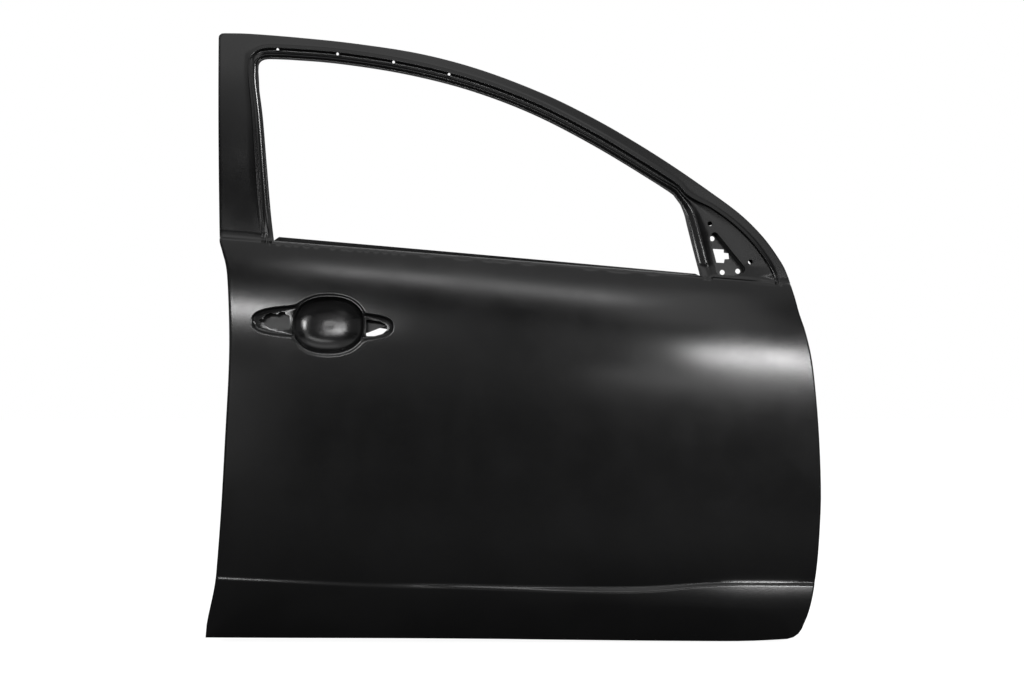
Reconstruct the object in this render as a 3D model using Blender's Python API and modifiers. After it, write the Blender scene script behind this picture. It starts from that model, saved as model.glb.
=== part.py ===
"""Pressed steel front door shell of a small car, right-hand side.

The frame is pressed in one with the panels: the outer skin is hemmed round the inner panel, and
the beam, the reinforcements, the glass channels and the brackets lie between the two.
X runs to the front of the car, Z up, and the outer skin faces -Y.
"""
import bpy
import bmesh
import math
from mathutils import Vector
from mathutils.bvhtree import BVHTree

# Overall sizes of the pressing
DOOR_LENGTH = 1.0875
WAIST_HEIGHT = 0.700
FRAME_HEIGHT = 0.384
BELT_OVER_WAIST = 0.0085
BELT_FALL = 0.0878
BELT_STEP_RISE = 0.003

# Depth of the outer surface, measured inboard from its most outboard point
BELT_DEPTH = 0.047
BELT_CURL = 0.330
SILL_DEPTH = 0.040
FRAME_SETBACK = 0.004
TUMBLEHOME = 0.200
TUMBLE_RADIUS = 1.390
PLAN_CREST = 0.430
REAR_PLAN_RADIUS = 7.0
FRONT_PLAN_RADIUS = 5.0
CREASE_STEP = 0.004

# Sheets and clearances
SKIN_GAUGE = 0.0008
PANEL_GAUGE = 0.0008
CHANNEL_GAUGE = 0.0012
PLATE_GAUGE = 0.0016
GAP = 0.0003
OVERRUN = 0.050
MERGE_DISTANCE = 0.00002

# Hem and flanges
HEM_WIDTH = 0.008
FLANGE_INSET = 0.0016
FLANGE_WIDTH = 0.013
FLANGE_SEAT = 0.0020
EDGE_REACH = 0.0008
SHOULDER_REACH = 0.0045
PINCH_WIDTH = 0.005
PINCH_DEPTH = 0.012

# Inner panel
INNER_DEPTH = 0.125
INNER_BELT_DEPTH = 0.050
INNER_BELT_RISE = 0.012
INNER_LEAN = 0.090
FRAME_THICKNESS = 0.027
FRONT_WALL_INSET = 0.0415
FRONT_WALL_X = DOOR_LENGTH - FRONT_WALL_INSET
SEAT_SKIM = 0.00005
SEAT_MARGIN = 0.020
FRONT_WALL_LOW = 0.090
FRONT_WALL_DROP = 0.160
FRONT_WALL_HIGH = WAIST_HEIGHT - FRONT_WALL_DROP
REAR_WALL_X = 0.064
REAR_WALL_DROP = 0.125
REAR_WALL_HEIGHT = 0.215
REAR_WALL_HIGH = WAIST_HEIGHT - REAR_WALL_DROP
REAR_WALL_LOW = REAR_WALL_HIGH - REAR_WALL_HEIGHT
WALL_DRAFT = 0.003
PAN_STEP = 0.010
PAN_BORDER = 4
SERVICE_CORNER = 0.045
SPEAKER_RADIUS = 0.078
TRIM_CLIP_RADIUS = 0.005

# Window frame ridges, measured from the outer edge or from the opening
BAND_WIDTH = 0.0135
RIDGE_WIDTH = 0.0065
RIDGE_HEIGHT = 0.0022
GROOVE_DEPTH = 0.0065
PILLAR_FLAT_WIDTH = 0.0240
PILLAR_RIDGE_INSET = 0.0200
HEADER_RIDGE_INSET = 0.0230
SAIL_BAND_WIDTH = 0.0195
SAIL_POST_WIDTH = 0.0240
TRIM_HOLE_RADIUS = 0.0022
TRIM_HOLE_INSET = 0.0172
TRIM_ACCESS_RADIUS = 0.0060

# Handle recess
BOWL_LENGTH = 0.1260
BOWL_HEIGHT = 0.1000
BOWL_DEPTH = 0.0240
BOWL_X = 0.2200
BOWL_DROP = 0.1477
BOWL_Z = WAIST_HEIGHT - BOWL_DROP
REAR_LOBE_LENGTH = 0.0695
REAR_LOBE_HEIGHT = 0.0520
FRONT_LOBE_LENGTH = 0.0485
FRONT_LOBE_HEIGHT = 0.0450
REAR_LOBE_RISE = 0.0065
FRONT_LOBE_RISE = -0.0032
LOBE_DEPTH = 0.0065
LOBE_RIM = 0.0060
RIM_WIDTH = 0.0030

# Glass channels
CHANNEL_WIDTH = 0.0105
CHANNEL_STAND = 0.0013
REAR_CHANNEL_FOOT = 0.0390
FRONT_CHANNEL_FOOT = 0.0355
CHANNEL_DEPTH = 0.0090
CHANNEL_CLEARANCE = 0.0055
CHANNEL_LIP = 0.0008
REAR_CHANNEL_DROP = 0.330
FRONT_CHANNEL_DROP = 0.190

# Belt rails
BELT_RAIL_FLANGE = 0.009
BELT_RAIL_WEB = 0.022
BELT_RAIL_DEPTH = 0.014
BELT_RAIL_END = 0.022

# Side impact beam
BEAM_RADIUS = 0.0160
BEAM_GAUGE = 0.0024
BEAM_SIDES = 16
BEAM_REAR_CLEARANCE = 0.041
BEAM_FRONT_CLEARANCE = 0.046
BEAM_REAR_X = REAR_WALL_X + BEAM_REAR_CLEARANCE
BEAM_FRONT_X = FRONT_WALL_X - BEAM_FRONT_CLEARANCE
BEAM_REAR_Z = 0.235
BEAM_FRONT_Z = 0.385
BEAM_REAR_DEPTH = 0.032
BEAM_FRONT_DEPTH = 0.062
BRACKET_LENGTH = 0.085
BRACKET_EAR = 0.018
PAD_RADIUS = 0.020
PAD_PLACES_SHARES = (0.28, 0.50, 0.72)

# Hinges, latch and check strap
HINGE_DROP = 0.230
HINGE_UPPER_Z = WAIST_HEIGHT - HINGE_DROP
HINGE_LOWER_Z = 0.165
HINGE_PLATE_HEIGHT = 0.094
HINGE_BOLT_SPACING = 0.050
HINGE_BOLT_RADIUS = 0.0045
HINGE_Y = 0.083
NUT_WIDTH = 0.013
NUT_HEIGHT = 0.008
PLATE_NEAR_DEPTH = 0.056
PLATE_REACH = 0.055
LATCH_DROP = 0.230
LATCH_Z = WAIST_HEIGHT - LATCH_DROP
LATCH_Y = 0.080
LATCH_HEIGHT = 0.150
LATCH_SLOT_HEIGHT = 0.070
LATCH_SLOT_WIDTH = 0.038
GROMMET_DROP = 0.078
GROMMET_Z = HINGE_UPPER_Z - GROMMET_DROP
GROMMET_RADIUS = 0.017
CHECK_Z = 0.5 * (HINGE_LOWER_Z + HINGE_UPPER_Z)
CHECK_HEIGHT = 0.044
CHECK_WIDTH = 0.026

# Mirror bracket
MIRROR_PLATE_LIFT = 0.016
MIRROR_SEAT_WIDTH = 0.007
MIRROR_CLEARANCE = 0.014
MIRROR_HOLE_RADIUS = 0.0047
SAIL_CORNER_RADIUS = 0.008
CLIP_HOLE_RADIUS = 0.0042

# Rear edge below the belt: shares of the waist height, and of the door length
REAR_EDGE_SHARES = (
    (0.000, 0.0000), (0.041, 0.0035), (0.072, 0.0083), (0.134, 0.0174), (0.195, 0.0220),
    (0.330, 0.0290), (0.511, 0.0356), (0.676, 0.0412), (0.790, 0.0415), (0.918, 0.0365),
    (0.975, 0.0275), (1.000, 0.0225),
    (1.030, 0.0218),
)
# Bottom edge: shares of the door length, and of the waist height
BOTTOM_EDGE_SHARES = (
    (0.0000, 0.0000), (0.3700, 0.0000), (0.5770, -0.0034), (0.7410, -0.0069), (0.8700, -0.0089),
    (0.9412, -0.0049),
)
# Front lower corner: the middle point is the pull of a quadratic bend
CORNER_PULL_SHARES = (0.9665, -0.0060)
# Front edge, upwards: shares of the door length, and of the waist height
FRONT_EDGE_SHARES = (
    (0.9730, 0.0371), (0.9805, 0.0686), (0.9894, 0.1300), (0.9953, 0.2070), (0.9992, 0.3100),
    (1.0000, 0.3730), (0.9983, 0.4640), (0.9945, 0.5650), (0.9868, 0.6910), (0.9770, 0.7670),
    (0.9670, 0.8180), (0.9607, 0.8583), (0.9550, 0.8900),
    (0.9525, 0.9100),
)
# Roof line, forwards and down: shares of the door length, and of the frame height over the belt
ROOF_LINE_SHARES = (
    (0.0180, 0.9990), (0.0623, 0.9956), (0.1480, 0.9750), (0.2410, 0.9455), (0.3470, 0.8966),
    (0.4470, 0.8187), (0.5516, 0.7026), (0.6325, 0.5875), (0.7015, 0.4730), (0.7639, 0.3590),
    (0.8205, 0.2466),
)
SAIL_LINE_SHARES = (
    (0.8205, 0.2466), (0.8733, 0.1340), (0.9122, 0.0216), (0.9396, -0.0904), (0.9490, -0.1460),
)
# Top of the pillar's rear edge, and the pull of its corner
PILLAR_TOP_SHARES = ((0.0087, 0.974), (0.0083, 1.0))
# Window opening: rear edge upwards, top edge forwards, front edge down
OPENING_REAR_SHARES = (
    (0.1099, 0.0075), (0.1042, 0.1300), (0.0957, 0.3570), (0.0868, 0.5860), (0.0800, 0.7100),
    (0.0771, 0.7700), (0.0766, 0.8350),
)
OPENING_TOP_SHARES = (
    (0.0950, 0.8735), (0.1316, 0.8695), (0.2118, 0.8498), (0.3187, 0.8010), (0.4254, 0.7234),
    (0.5316, 0.6078), (0.6372, 0.4500), (0.7423, 0.2659), (0.7640, 0.2230),
)
OPENING_FRONT_SHARES = (
    (0.7735, 0.1906), (0.7812, 0.1342), (0.7858, 0.0776), (0.7952, -0.0349), (0.8060, -0.1560),
)
SAIL_OPENING_SHARES = (
    (0.8224, 0.0352), (0.8331, -0.1536), (0.8717, -0.1536), (0.8828, -0.1250), (0.8322, 0.0547),
)
CLIP_HOLE_SHARES = ((0.8233, 0.0885), (0.8893, -0.0901))
MIRROR_HOLE_SHARES = ((0.8277, 0.0195), (0.8694, -0.1328), (0.8437, -0.1383))
CONNECTOR_SHARES = (
    (0.8286, -0.0284), (0.8341, -0.0924), (0.8465, -0.0943), (0.8478, -0.0768), (0.8552, -0.0755),
    (0.8543, -0.0492), (0.8467, -0.0464), (0.8468, -0.0315),
)
# Shares of the length of the opening's top edge at which the header's groove is drilled
TRIM_HOLE_SHARES = (0.0175, 0.155, 0.285, 0.415)
# Holes in the handle recess: shares of the lobe's length from the bowl, and of its half height
KEYHOLE_SHARES = (
    (0.078, 0.465), (0.194, 0.675), (0.204, 0.850), (0.320, 0.850), (0.393, 0.620), (0.579, 0.770),
    (0.710, 0.526), (0.753, 0.200), (0.800, 0.300), (0.860, 0.070), (0.800, -0.160), (0.753, -0.080),
    (0.710, -0.333), (0.564, -0.658), (0.378, -0.630), (0.363, -0.850), (0.247, -0.850),
    (0.232, -0.737), (0.078, -0.737),
)
HOOK_HOLE_SHARES = (
    (0.060, 0.787), (0.540, 0.606), (0.750, 0.300), (0.830, 0.060), (0.820, -0.310), (0.665, -0.734),
    (0.373, -0.980), (0.060, -0.980),
)
# Plate behind the handle: shares of the recess's length, then lower and upper edge
HANDLE_PLATE_SHARES = (
    (0.00, -0.25, 0.75), (0.08, -0.62, 0.95), (0.30, -0.62, 0.95), (0.58, -0.62, 0.80),
    (0.83, -0.25, 0.62), (0.97, 0.02, 0.42),
)
# Holes of the inner panel: shares of the door length and of the waist height
REAR_SERVICE_SHARES = ((0.190, 0.330), (0.420, 0.300), (0.440, 0.740), (0.215, 0.800))
FRONT_SERVICE_SHARES = ((0.480, 0.400), (0.640, 0.420), (0.720, 0.580), (0.700, 0.730), (0.490, 0.750))
SPEAKER_SHARES = (0.735, 0.335)
CLIP_PLACES_SHARES = (
    (0.090, 0.220), (0.300, 0.130), (0.540, 0.130), (0.700, 0.130), (0.880, 0.200), (0.930, 0.560),
    (0.090, 0.560), (0.460, 0.200), (0.840, 0.800),
)
# Heights of the rows of the lower panel, as shares from the bottom edge to the belt
ROW_SHARES = (
    0.0, 0.034, 0.056, 0.078, 0.100, 0.136, 0.150, 0.200, 0.300, 0.420, 0.540, 0.620, 0.690,
    0.745, 0.800, 0.850, 0.900, 0.940, 0.975, 1.0,
)
CREASE_SHARE = 0.143
CORNER_CLOSING_SHARE = 0.2
BELT_CURL_POWER = 3.4
# Columns of the sheets between the ends of the window's sill
SILL_SHARES = (0.022, 0.10, 0.20, 0.30, 0.42, 0.56, 0.70, 0.84, 0.978)
RECESS_SIDES = 40
LOBE_BLEND_POWER = 14
# Section of the bowl: share of its reach, and of its fall
BOWL_SECTION_SHARES = ((0.93, 0.30), (0.78, 0.68), (0.52, 0.92), (0.20, 1.0))
RECESS_CROWDING_SHARE = 0.32
PILLAR_STATIONS = 6
CORNER_POINTS = 4
HEADER_STATIONS = 14
SAIL_STATIONS = 7
CORNER_STEPS = 3


def mix(a, b, share):
    return a + (b - a) * share


def mix_points(a, b, share):
    return tuple(mix(p, q, share) for p, q in zip(a, b))


def smooth_step(share):
    share = min(1.0, max(0.0, share))
    return share * share * (3 - 2 * share)


def curve_through(points, per_span=8):
    """A smooth line through the points, with an even parabola's slope at each."""
    line = []
    last = len(points) - 1
    for n in range(last):
        before, a, b, after = (points[max(0, n - 1)], points[n], points[n + 1], points[min(last, n + 2)])
        for step in range(per_span):
            t = step / per_span
            weights = (
                -0.5 * t + t * t - 0.5 * t ** 3,
                1 - 2.5 * t * t + 1.5 * t ** 3,
                0.5 * t + 2 * t * t - 1.5 * t ** 3,
                -0.5 * t * t + 0.5 * t ** 3,
            )
            line.append(tuple(
                sum(w * p[axis] for w, p in zip(weights, (before, a, b, after)))
                for axis in range(len(a))
            ))
    line.append(tuple(points[last]))
    return line


def along(line, shares):
    """Points of the line at the given shares of its length."""
    reach = [0.0]
    for a, b in zip(line, line[1:]):
        reach.append(reach[-1] + math.dist(a, b))
    found = []
    for share in shares:
        goal = share * reach[-1]
        n = next((i for i in range(1, len(reach)) if reach[i] >= goal), len(reach) - 1)
        span = reach[n] - reach[n - 1]
        found.append(mix_points(line[n - 1], line[n], (goal - reach[n - 1]) / span if span else 0.0))
    return found


def nearest_share(line, place):
    """Share of a line's length at which it passes closest to a place."""
    shares = even_shares(400)
    return min(zip(shares, along(line, shares)), key=lambda pair: math.dist(pair[1], place))[0]


def at_height(line, height):
    """The point where a rising or falling line reaches a height."""
    for a, b in zip(line, line[1:]):
        low, high = min(a[1], b[1]), max(a[1], b[1])
        if low <= height <= high and high > low:
            return mix_points(a, b, (height - a[1]) / (b[1] - a[1]))
    return min((line[0], line[-1]), key=lambda p: abs(p[1] - height))


def even_shares(count):
    return [n / count for n in range(count + 1)]


def inset(loop, distance):
    """The closed loop moved inwards; it runs anticlockwise as seen from outside the door."""
    moved = []
    for n, point in enumerate(loop):
        before, after = Vector(loop[n - 1]), Vector(loop[(n + 1) % len(loop)])
        point = Vector(point)
        side_in = (point - before).normalized()
        side_out = (after - point).normalized()
        normal_in = Vector((-side_in.y, side_in.x))
        normal_out = Vector((-side_out.y, side_out.x))
        bisector = (normal_in + normal_out).normalized()
        moved.append(tuple(point + bisector * distance / max(0.5, bisector.dot(normal_in))))
    # Round a tight corner the moved points cross over or nearly meet: they are drawn together
    crossed = True
    while crossed:
        crossed = False
        for n, point in enumerate(moved):
            side = Vector(loop[n]) - Vector(loop[n - 1])
            moved_side = Vector(point) - Vector(moved[n - 1])
            near = moved_side.dot(side) < CORNER_CLOSING_SHARE * side.length_squared
            if near and moved_side.length > MERGE_DISTANCE:
                moved[n] = moved[n - 1] = mix_points(point, moved[n - 1], 0.5)
                crossed = True
    return moved


# Outer surface

def belt_line(x):
    return WAIST_HEIGHT + BELT_OVER_WAIST - BELT_FALL * x / DOOR_LENGTH


def plan_depth(x):
    radius = REAR_PLAN_RADIUS if x < PLAN_CREST else FRONT_PLAN_RADIUS
    return (x - PLAN_CREST) ** 2 / (2 * radius)


def skin_depth(x, z):
    """Depth of the outer surface at a place on the door, without its ridges and recesses."""
    below = belt_line(x) - z
    if below < 0:
        return glass_depth(x, z)
    depth = BELT_DEPTH * max(0.0, 1 - below / BELT_CURL) ** BELT_CURL_POWER + plan_depth(x)
    if z < CREASE_SHARE * belt_line(x):
        depth -= CREASE_STEP
    if below > BELT_CURL:
        sill_share = (below - BELT_CURL) / (belt_line(x) - BELT_CURL)
        depth += SILL_DEPTH * sill_share ** 4
    return depth


def place_low(shares):
    """Points of the lower panel from shares of the door length and the waist height."""
    return [(DOOR_LENGTH * x, WAIST_HEIGHT * z) for x, z in shares]


def place_frame(shares):
    return [(DOOR_LENGTH * x, WAIST_HEIGHT + FRAME_HEIGHT * z) for x, z in shares]


def rounded_corner(a, pull, b, steps):
    """Points strictly between a and b on the bend that leaves a towards pull."""
    inside = []
    for n in range(1, steps + 1):
        t = n / (steps + 1)
        inside.append(mix_points(mix_points(a, pull, t), mix_points(pull, b, t), t))
    return inside


def outline_sides():
    """The rear, bottom and front sides below the belt, and the frame's outer line with its opening."""
    rear = curve_through([(DOOR_LENGTH * x, WAIST_HEIGHT * z) for z, x in REAR_EDGE_SHARES])
    bottom = curve_through(place_low(BOTTOM_EDGE_SHARES))
    front_rise = curve_through(place_low(FRONT_EDGE_SHARES))
    pull = place_low([CORNER_PULL_SHARES])[0]
    bend = [bottom[-1]] + rounded_corner(bottom[-1], pull, front_rise[0], CORNER_STEPS)
    rear_top = belt_line(rear[-1][0])
    front_top = belt_line(front_rise[-1][0])
    rear_column = [at_height(rear, rear_top * share) for share in ROW_SHARES]
    # The first rows climb round the front corner, the others follow the height
    front_column = bend + [front_rise[0]]
    for share in ROW_SHARES[len(front_column):]:
        front_column.append(at_height(front_rise, front_top * share))

    pillar_foot = at_height(rear, rear_top + BELT_STEP_RISE)
    sail_foot = at_height(front_rise, front_top + BELT_STEP_RISE)
    pillar_top, corner = place_frame(PILLAR_TOP_SHARES)
    pillar = along([pillar_foot, pillar_top], even_shares(PILLAR_STATIONS))
    roof = curve_through(place_frame(ROOF_LINE_SHARES))
    sail = curve_through([*place_frame(SAIL_LINE_SHARES), sail_foot])

    opening_rear = curve_through(place_frame(OPENING_REAR_SHARES))
    opening_top = curve_through(place_frame(OPENING_TOP_SHARES))
    opening_front = curve_through(place_frame(OPENING_FRONT_SHARES))
    header_inner = along(opening_top, even_shares(HEADER_STATIONS))
    # The header's sections run square across it, and fan out round the rear corner
    header_shares = [nearest_share(roof, place) for place in header_inner]
    fan_shares = [header_shares[0] * n / (CORNER_POINTS - 1) for n in range(CORNER_POINTS - 1)]
    front_shares = [mix(header_shares[-1], 1, share) for share in even_shares(4)]
    frame_outer = pillar + rounded_corner(pillar_top, corner, roof[0], 1)
    frame_outer += along(roof, fan_shares + header_shares)
    frame_outer += along(along(roof, front_shares) + sail[1:], even_shares(SAIL_STATIONS))[1:]

    corner = (opening_rear[-1][0], opening_top[0][1])
    frame_inner = along(opening_rear, even_shares(PILLAR_STATIONS))
    frame_inner += rounded_corner(opening_rear[-1], corner, opening_top[0], CORNER_POINTS)
    frame_inner += header_inner
    frame_inner += along(opening_front, even_shares(SAIL_STATIONS))[1:]
    return rear_column, bottom, front_column, frame_outer, frame_inner


# Sections across the frame: (from which edge, distance, depth), outer edge first
PILLAR_SECTION = (
    ("outer", PILLAR_FLAT_WIDTH, 0.0),
    ("opening", PILLAR_RIDGE_INSET + 0.5 * RIDGE_WIDTH, 0.0),
    ("opening", PILLAR_RIDGE_INSET, -0.6 * RIDGE_HEIGHT),
    ("opening", 0.86 * PILLAR_RIDGE_INSET, 0.1 * RIDGE_HEIGHT),
    ("opening", 0.72 * PILLAR_RIDGE_INSET, -0.3 * RIDGE_HEIGHT),
    ("opening", 0.58 * PILLAR_RIDGE_INSET, 0.35 * GROOVE_DEPTH),
    ("opening", 1.6 * PINCH_WIDTH, 0.55 * GROOVE_DEPTH),
    ("opening", PINCH_WIDTH, PINCH_DEPTH),
)
HEADER_SECTION = (
    ("outer", 0.5 * BAND_WIDTH, 0.0),
    ("opening", HEADER_RIDGE_INSET + 0.5 * RIDGE_WIDTH, 0.0),
    ("opening", HEADER_RIDGE_INSET, -RIDGE_HEIGHT),
    ("opening", HEADER_RIDGE_INSET - 0.5 * RIDGE_WIDTH, 0.0),
    ("opening", HEADER_RIDGE_INSET - 1.0 * RIDGE_WIDTH, GROOVE_DEPTH),
    ("opening", 2.0 * PINCH_WIDTH, GROOVE_DEPTH),
    ("opening", 1.5 * PINCH_WIDTH, 0.7 * GROOVE_DEPTH),
    ("opening", 0.8 * PINCH_WIDTH, PINCH_DEPTH),
)
SAIL_SECTION = (
    ("outer", 0.5 * SAIL_BAND_WIDTH, 0.0),
    ("outer", SAIL_BAND_WIDTH, 0.0),
    ("outer", SAIL_BAND_WIDTH + 0.5 * RIDGE_WIDTH, -RIDGE_HEIGHT),
    ("outer", SAIL_BAND_WIDTH + RIDGE_WIDTH, 0.0),
    ("outer", SAIL_BAND_WIDTH + 1.25 * RIDGE_WIDTH, GROOVE_DEPTH),
    ("opening", SAIL_POST_WIDTH, GROOVE_DEPTH),
    ("opening", 0.8 * SAIL_POST_WIDTH, 0.6 * GROOVE_DEPTH),
    ("opening", PINCH_WIDTH, PINCH_DEPTH),
)


def section_place(entry, width):
    edge, distance, depth = entry
    share = distance / width if edge == "outer" else 1 - distance / width
    return share, depth


def frame_weights():
    """For each station, how far its section is the header's and how far the sail's."""
    weights = []
    header_first = PILLAR_STATIONS + 1 + CORNER_POINTS
    header_last = header_first + HEADER_STATIONS
    for k in range(header_last + SAIL_STATIONS + 1):
        header = smooth_step((k - PILLAR_STATIONS + 0.5) / (CORNER_POINTS + 1))
        sail = smooth_step((k - header_last + 1) / 3)
        weights.append((header, sail))
    return weights


def skin_frame_lines(outer, inner):
    """Rows of (x, z, depth beyond the surface) across the frame, one row a station."""
    rows = []
    weights = frame_weights()
    last = len(outer) - 1
    for k, (a, b) in enumerate(zip(outer, inner)):
        width = math.dist(a, b)
        header, sail = weights[k]
        # The ridges and the groove die out just above the belt
        fade = min(1.0, k, last - k)
        row = [(*a, 0.0)]
        for entries in zip(PILLAR_SECTION, HEADER_SECTION, SAIL_SECTION):
            places = [section_place(entry, width) for entry in entries]
            share, depth = mix_points(mix_points(places[0], places[1], header), places[2], sail)
            row.append((*mix_points(a, b, share), depth * fade))
        row.append((*b, PINCH_DEPTH * fade))
        rows.append(row)
    return rows


def fill_sheet(left, bottom, right, top):
    """A grid of points inside four sides (a blend of the two pairs of opposite sides)."""
    columns, rows = len(bottom) - 1, len(left) - 1
    grid = []
    for j in range(rows + 1):
        v = ROW_SHARES[j]
        line = []
        for i in range(columns + 1):
            u = i / columns
            sides = Vector(left[j]) * (1 - u) + Vector(right[j]) * u
            ends = Vector(bottom[i]) * (1 - v) + Vector(top[i]) * v
            corners = (Vector(left[0]) * (1 - u) + Vector(right[0]) * u) * (1 - v)
            corners += (Vector(left[-1]) * (1 - u) + Vector(right[-1]) * u) * v
            line.append(tuple(sides + ends - corners))
        grid.append(line)
    return grid


def belt_columns(frame_start, frame_end):
    """Places of the columns on the belt line: the pillar's lines, the window's sill, the sail's lines."""
    rear_x = [point[0] for point in frame_start]
    front_x = [point[0] for point in reversed(frame_end)]
    middle = [mix(rear_x[-1], front_x[0], share) for share in SILL_SHARES]
    return rear_x + middle + front_x


# Mesh helpers

def quad_strip(mesh, first, second, closed=False):
    """Faces between two rows of vertices, facing outboard when second lies inside first."""
    count = len(first) if closed else len(first) - 1
    for n in range(count):
        m = (n + 1) % len(first)
        corners = []
        for vertex in (first[n], first[m], second[m], second[n]):
            if vertex not in corners:
                corners.append(vertex)
        if len(corners) > 2:
            mesh.faces.new(corners)


def finish_mesh(name, mesh):
    data = bpy.data.meshes.new(name)
    mesh.to_mesh(data)
    mesh.free()
    return data


def add_object(name, data, material, collection, origin):
    item = bpy.data.objects.new(name, data)
    collection.objects.link(item)
    item.parent = origin
    item.data.materials.append(material)
    return item


def thicken(item, gauge):
    """Turn a sheet into metal of the gauge, on the side away from its faces."""
    solid = item.modifiers.new("gauge", 'SOLIDIFY')
    solid.thickness = gauge
    solid.offset = -1
    solid.use_even_offset = True
    solid.use_quality_normals = True


def surface_point(place, beyond=0.0):
    """A point in space from a place on the door and a depth beyond the outer surface."""
    x, z = place[0], place[1]
    return (x, skin_depth(x, z) + beyond, z)


def vertex_row(mesh, points):
    return [mesh.verts.new(point) for point in points]


# Handle recess: rings round the bowl, each a share of the way between the bowl and the lobes

def bowl_reach(angle):
    """Distance from the middle of the bowl to its edge: a rounded, slightly squared oval."""
    across = abs(math.cos(angle)) * 2 / BOWL_LENGTH
    upward = abs(math.sin(angle)) * 2 / BOWL_HEIGHT
    return (across ** 2.3 + upward ** 2.3) ** (-1 / 2.3)


def lobe_reach(angle):
    """Distance from the middle of the bowl to the outline of its two lobes, found by halving."""
    across, upward = math.cos(angle), math.sin(angle)
    front = across > 0
    length = 0.5 * BOWL_LENGTH + (FRONT_LOBE_LENGTH if front else REAR_LOBE_LENGTH)
    half_height = 0.5 * (FRONT_LOBE_HEIGHT if front else REAR_LOBE_HEIGHT)
    rise = FRONT_LOBE_RISE if front else REAR_LOBE_RISE
    near, far = 0.0, 2 * length
    for _ in range(30):
        reach = 0.5 * (near + far)
        inside = abs(reach * across / length) ** 3 + abs((reach * upward - rise) / half_height) ** 3 < 1
        near, far = (reach, far) if inside else (near, reach)
    rim = bowl_reach(angle) + RIM_WIDTH
    return (near ** LOBE_BLEND_POWER + rim ** LOBE_BLEND_POWER) ** (1 / LOBE_BLEND_POWER)


def recess_angles():
    """Angles round the recess, closer together towards the ends of the lobes."""
    turns = [2 * math.pi * (n + 0.5) / RECESS_SIDES for n in range(RECESS_SIDES)]
    return [turn - RECESS_CROWDING_SHARE * math.sin(2 * turn) for turn in turns]


def recess_rings():
    """Rings of (x, z, depth) from the skin's edge round the recess down to the floor of the bowl."""
    rings = [[] for _ in range(8)]
    turns = [(math.cos(angle), math.sin(angle)) for angle in recess_angles()]
    bowls = [bowl_reach(angle) for angle in recess_angles()]
    lobes = [lobe_reach(angle) for angle in recess_angles()]
    outline = [Vector(turn) * lobe for turn, lobe in zip(turns, lobes)]
    for n, (turn, bowl, lobe) in enumerate(zip(turns, bowls, lobes)):
        along_outline = (outline[(n + 1) % RECESS_SIDES] - outline[n - 1]).normalized()
        outward = Vector((along_outline.y, -along_outline.x))
        open_share = smooth_step((lobe - bowl - RIM_WIDTH) / (2 * RIM_WIDTH))
        floor = mix(0.25 * LOBE_DEPTH, LOBE_DEPTH, open_share)
        crest = mix(0.35 * LOBE_DEPTH, 0.55 * LOBE_DEPTH, open_share)
        wall = min(0.4 * (lobe - bowl), RIM_WIDTH)
        stops = [(outline[n] + outward * 0.6 * RIM_WIDTH, 0.0), (outline[n] - outward * 0.5 * wall, floor)]
        stops.append((Vector(turn) * (bowl + 0.4 * wall), floor))
        stops.append((Vector(turn) * bowl, crest))
        for reach_share, fall_share in BOWL_SECTION_SHARES:
            stops.append((Vector(turn) * bowl * reach_share, mix(crest, BOWL_DEPTH, fall_share)))
        for ring, (place, depth) in zip(rings, stops):
            ring.append((BOWL_X + place.x, BOWL_Z + place.y, depth))
    return rings


def recess_block(grid):
    """The block of cells that the recess takes out of the lower panel: first and last column and row."""
    margin = 2 * RIM_WIDTH
    west = BOWL_X - 0.5 * BOWL_LENGTH - REAR_LOBE_LENGTH - margin
    east = BOWL_X + 0.5 * BOWL_LENGTH + FRONT_LOBE_LENGTH + margin
    south = BOWL_Z - 0.5 * BOWL_HEIGHT - margin
    north = BOWL_Z + 0.5 * BOWL_HEIGHT + margin
    rows = range(len(grid))
    low = max(j for j in rows if max(p[1] for p in grid[j][:len(grid[j]) // 2]) < south)
    high = min(j for j in rows if min(p[1] for p in grid[j][:len(grid[j]) // 2]) > north)
    columns = range(len(grid[0]))
    left = max(i for i in columns if max(grid[low][i][0], grid[high][i][0]) < west)
    right = min(i for i in columns if min(grid[low][i][0], grid[high][i][0]) > east)
    return left, right, low, high


def turn_of(vertex):
    return math.atan2(vertex.co.z - BOWL_Z, vertex.co.x - BOWL_X) % (2 * math.pi)


def join_loops(mesh, outer, inner):
    """Triangles between two loops of unlike counts round the bowl, by the shorter diagonal each time."""
    outer = sorted(outer, key=turn_of)
    inner = sorted(inner, key=turn_of)
    outer.append(outer[0])
    inner.append(inner[0])
    a = b = 0
    while a < len(outer) - 1 or b < len(inner) - 1:
        outer_step = a < len(outer) - 1
        if outer_step and b < len(inner) - 1:
            across = (outer[a + 1].co - inner[b].co).length
            outer_step = across <= (outer[a].co - inner[b + 1].co).length
        if outer_step:
            mesh.faces.new((outer[a], outer[a + 1], inner[b]))
            a += 1
        else:
            mesh.faces.new((outer[a], inner[b + 1], inner[b]))
            b += 1


# Sheets of the outer skin and the inner panel

def outline_loop(bottom, front_column, frame_outer, rear_column):
    """The door's outline, anticlockwise from the lower rear corner."""
    return bottom + front_column[1:] + frame_outer[::-1] + rear_column[:0:-1]


def split_loop(loop, columns, rows, stations):
    """The loop taken apart again into its bottom, front, frame and rear sides."""
    bottom = loop[:columns + 1]
    front = loop[columns:columns + rows + 1]
    frame = loop[columns + rows + 1:columns + rows + 1 + stations][::-1]
    rear = ([loop[0]] + loop[columns + rows + 1 + stations:][::-1])
    return bottom, front, frame, rear


def behind(depth_at, x, z, reach):
    """The deepest of a sheet's places round one place."""
    steps = (-reach, 0.0, reach)
    return max(depth_at(x + across, z + upward) for across in steps for upward in steps)


def flange_depth(skin_at, place, reach):
    """Depth of the inner panel's flange behind the skin."""
    return behind(skin_at, place[0], place[1], reach) + FLANGE_SEAT


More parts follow.
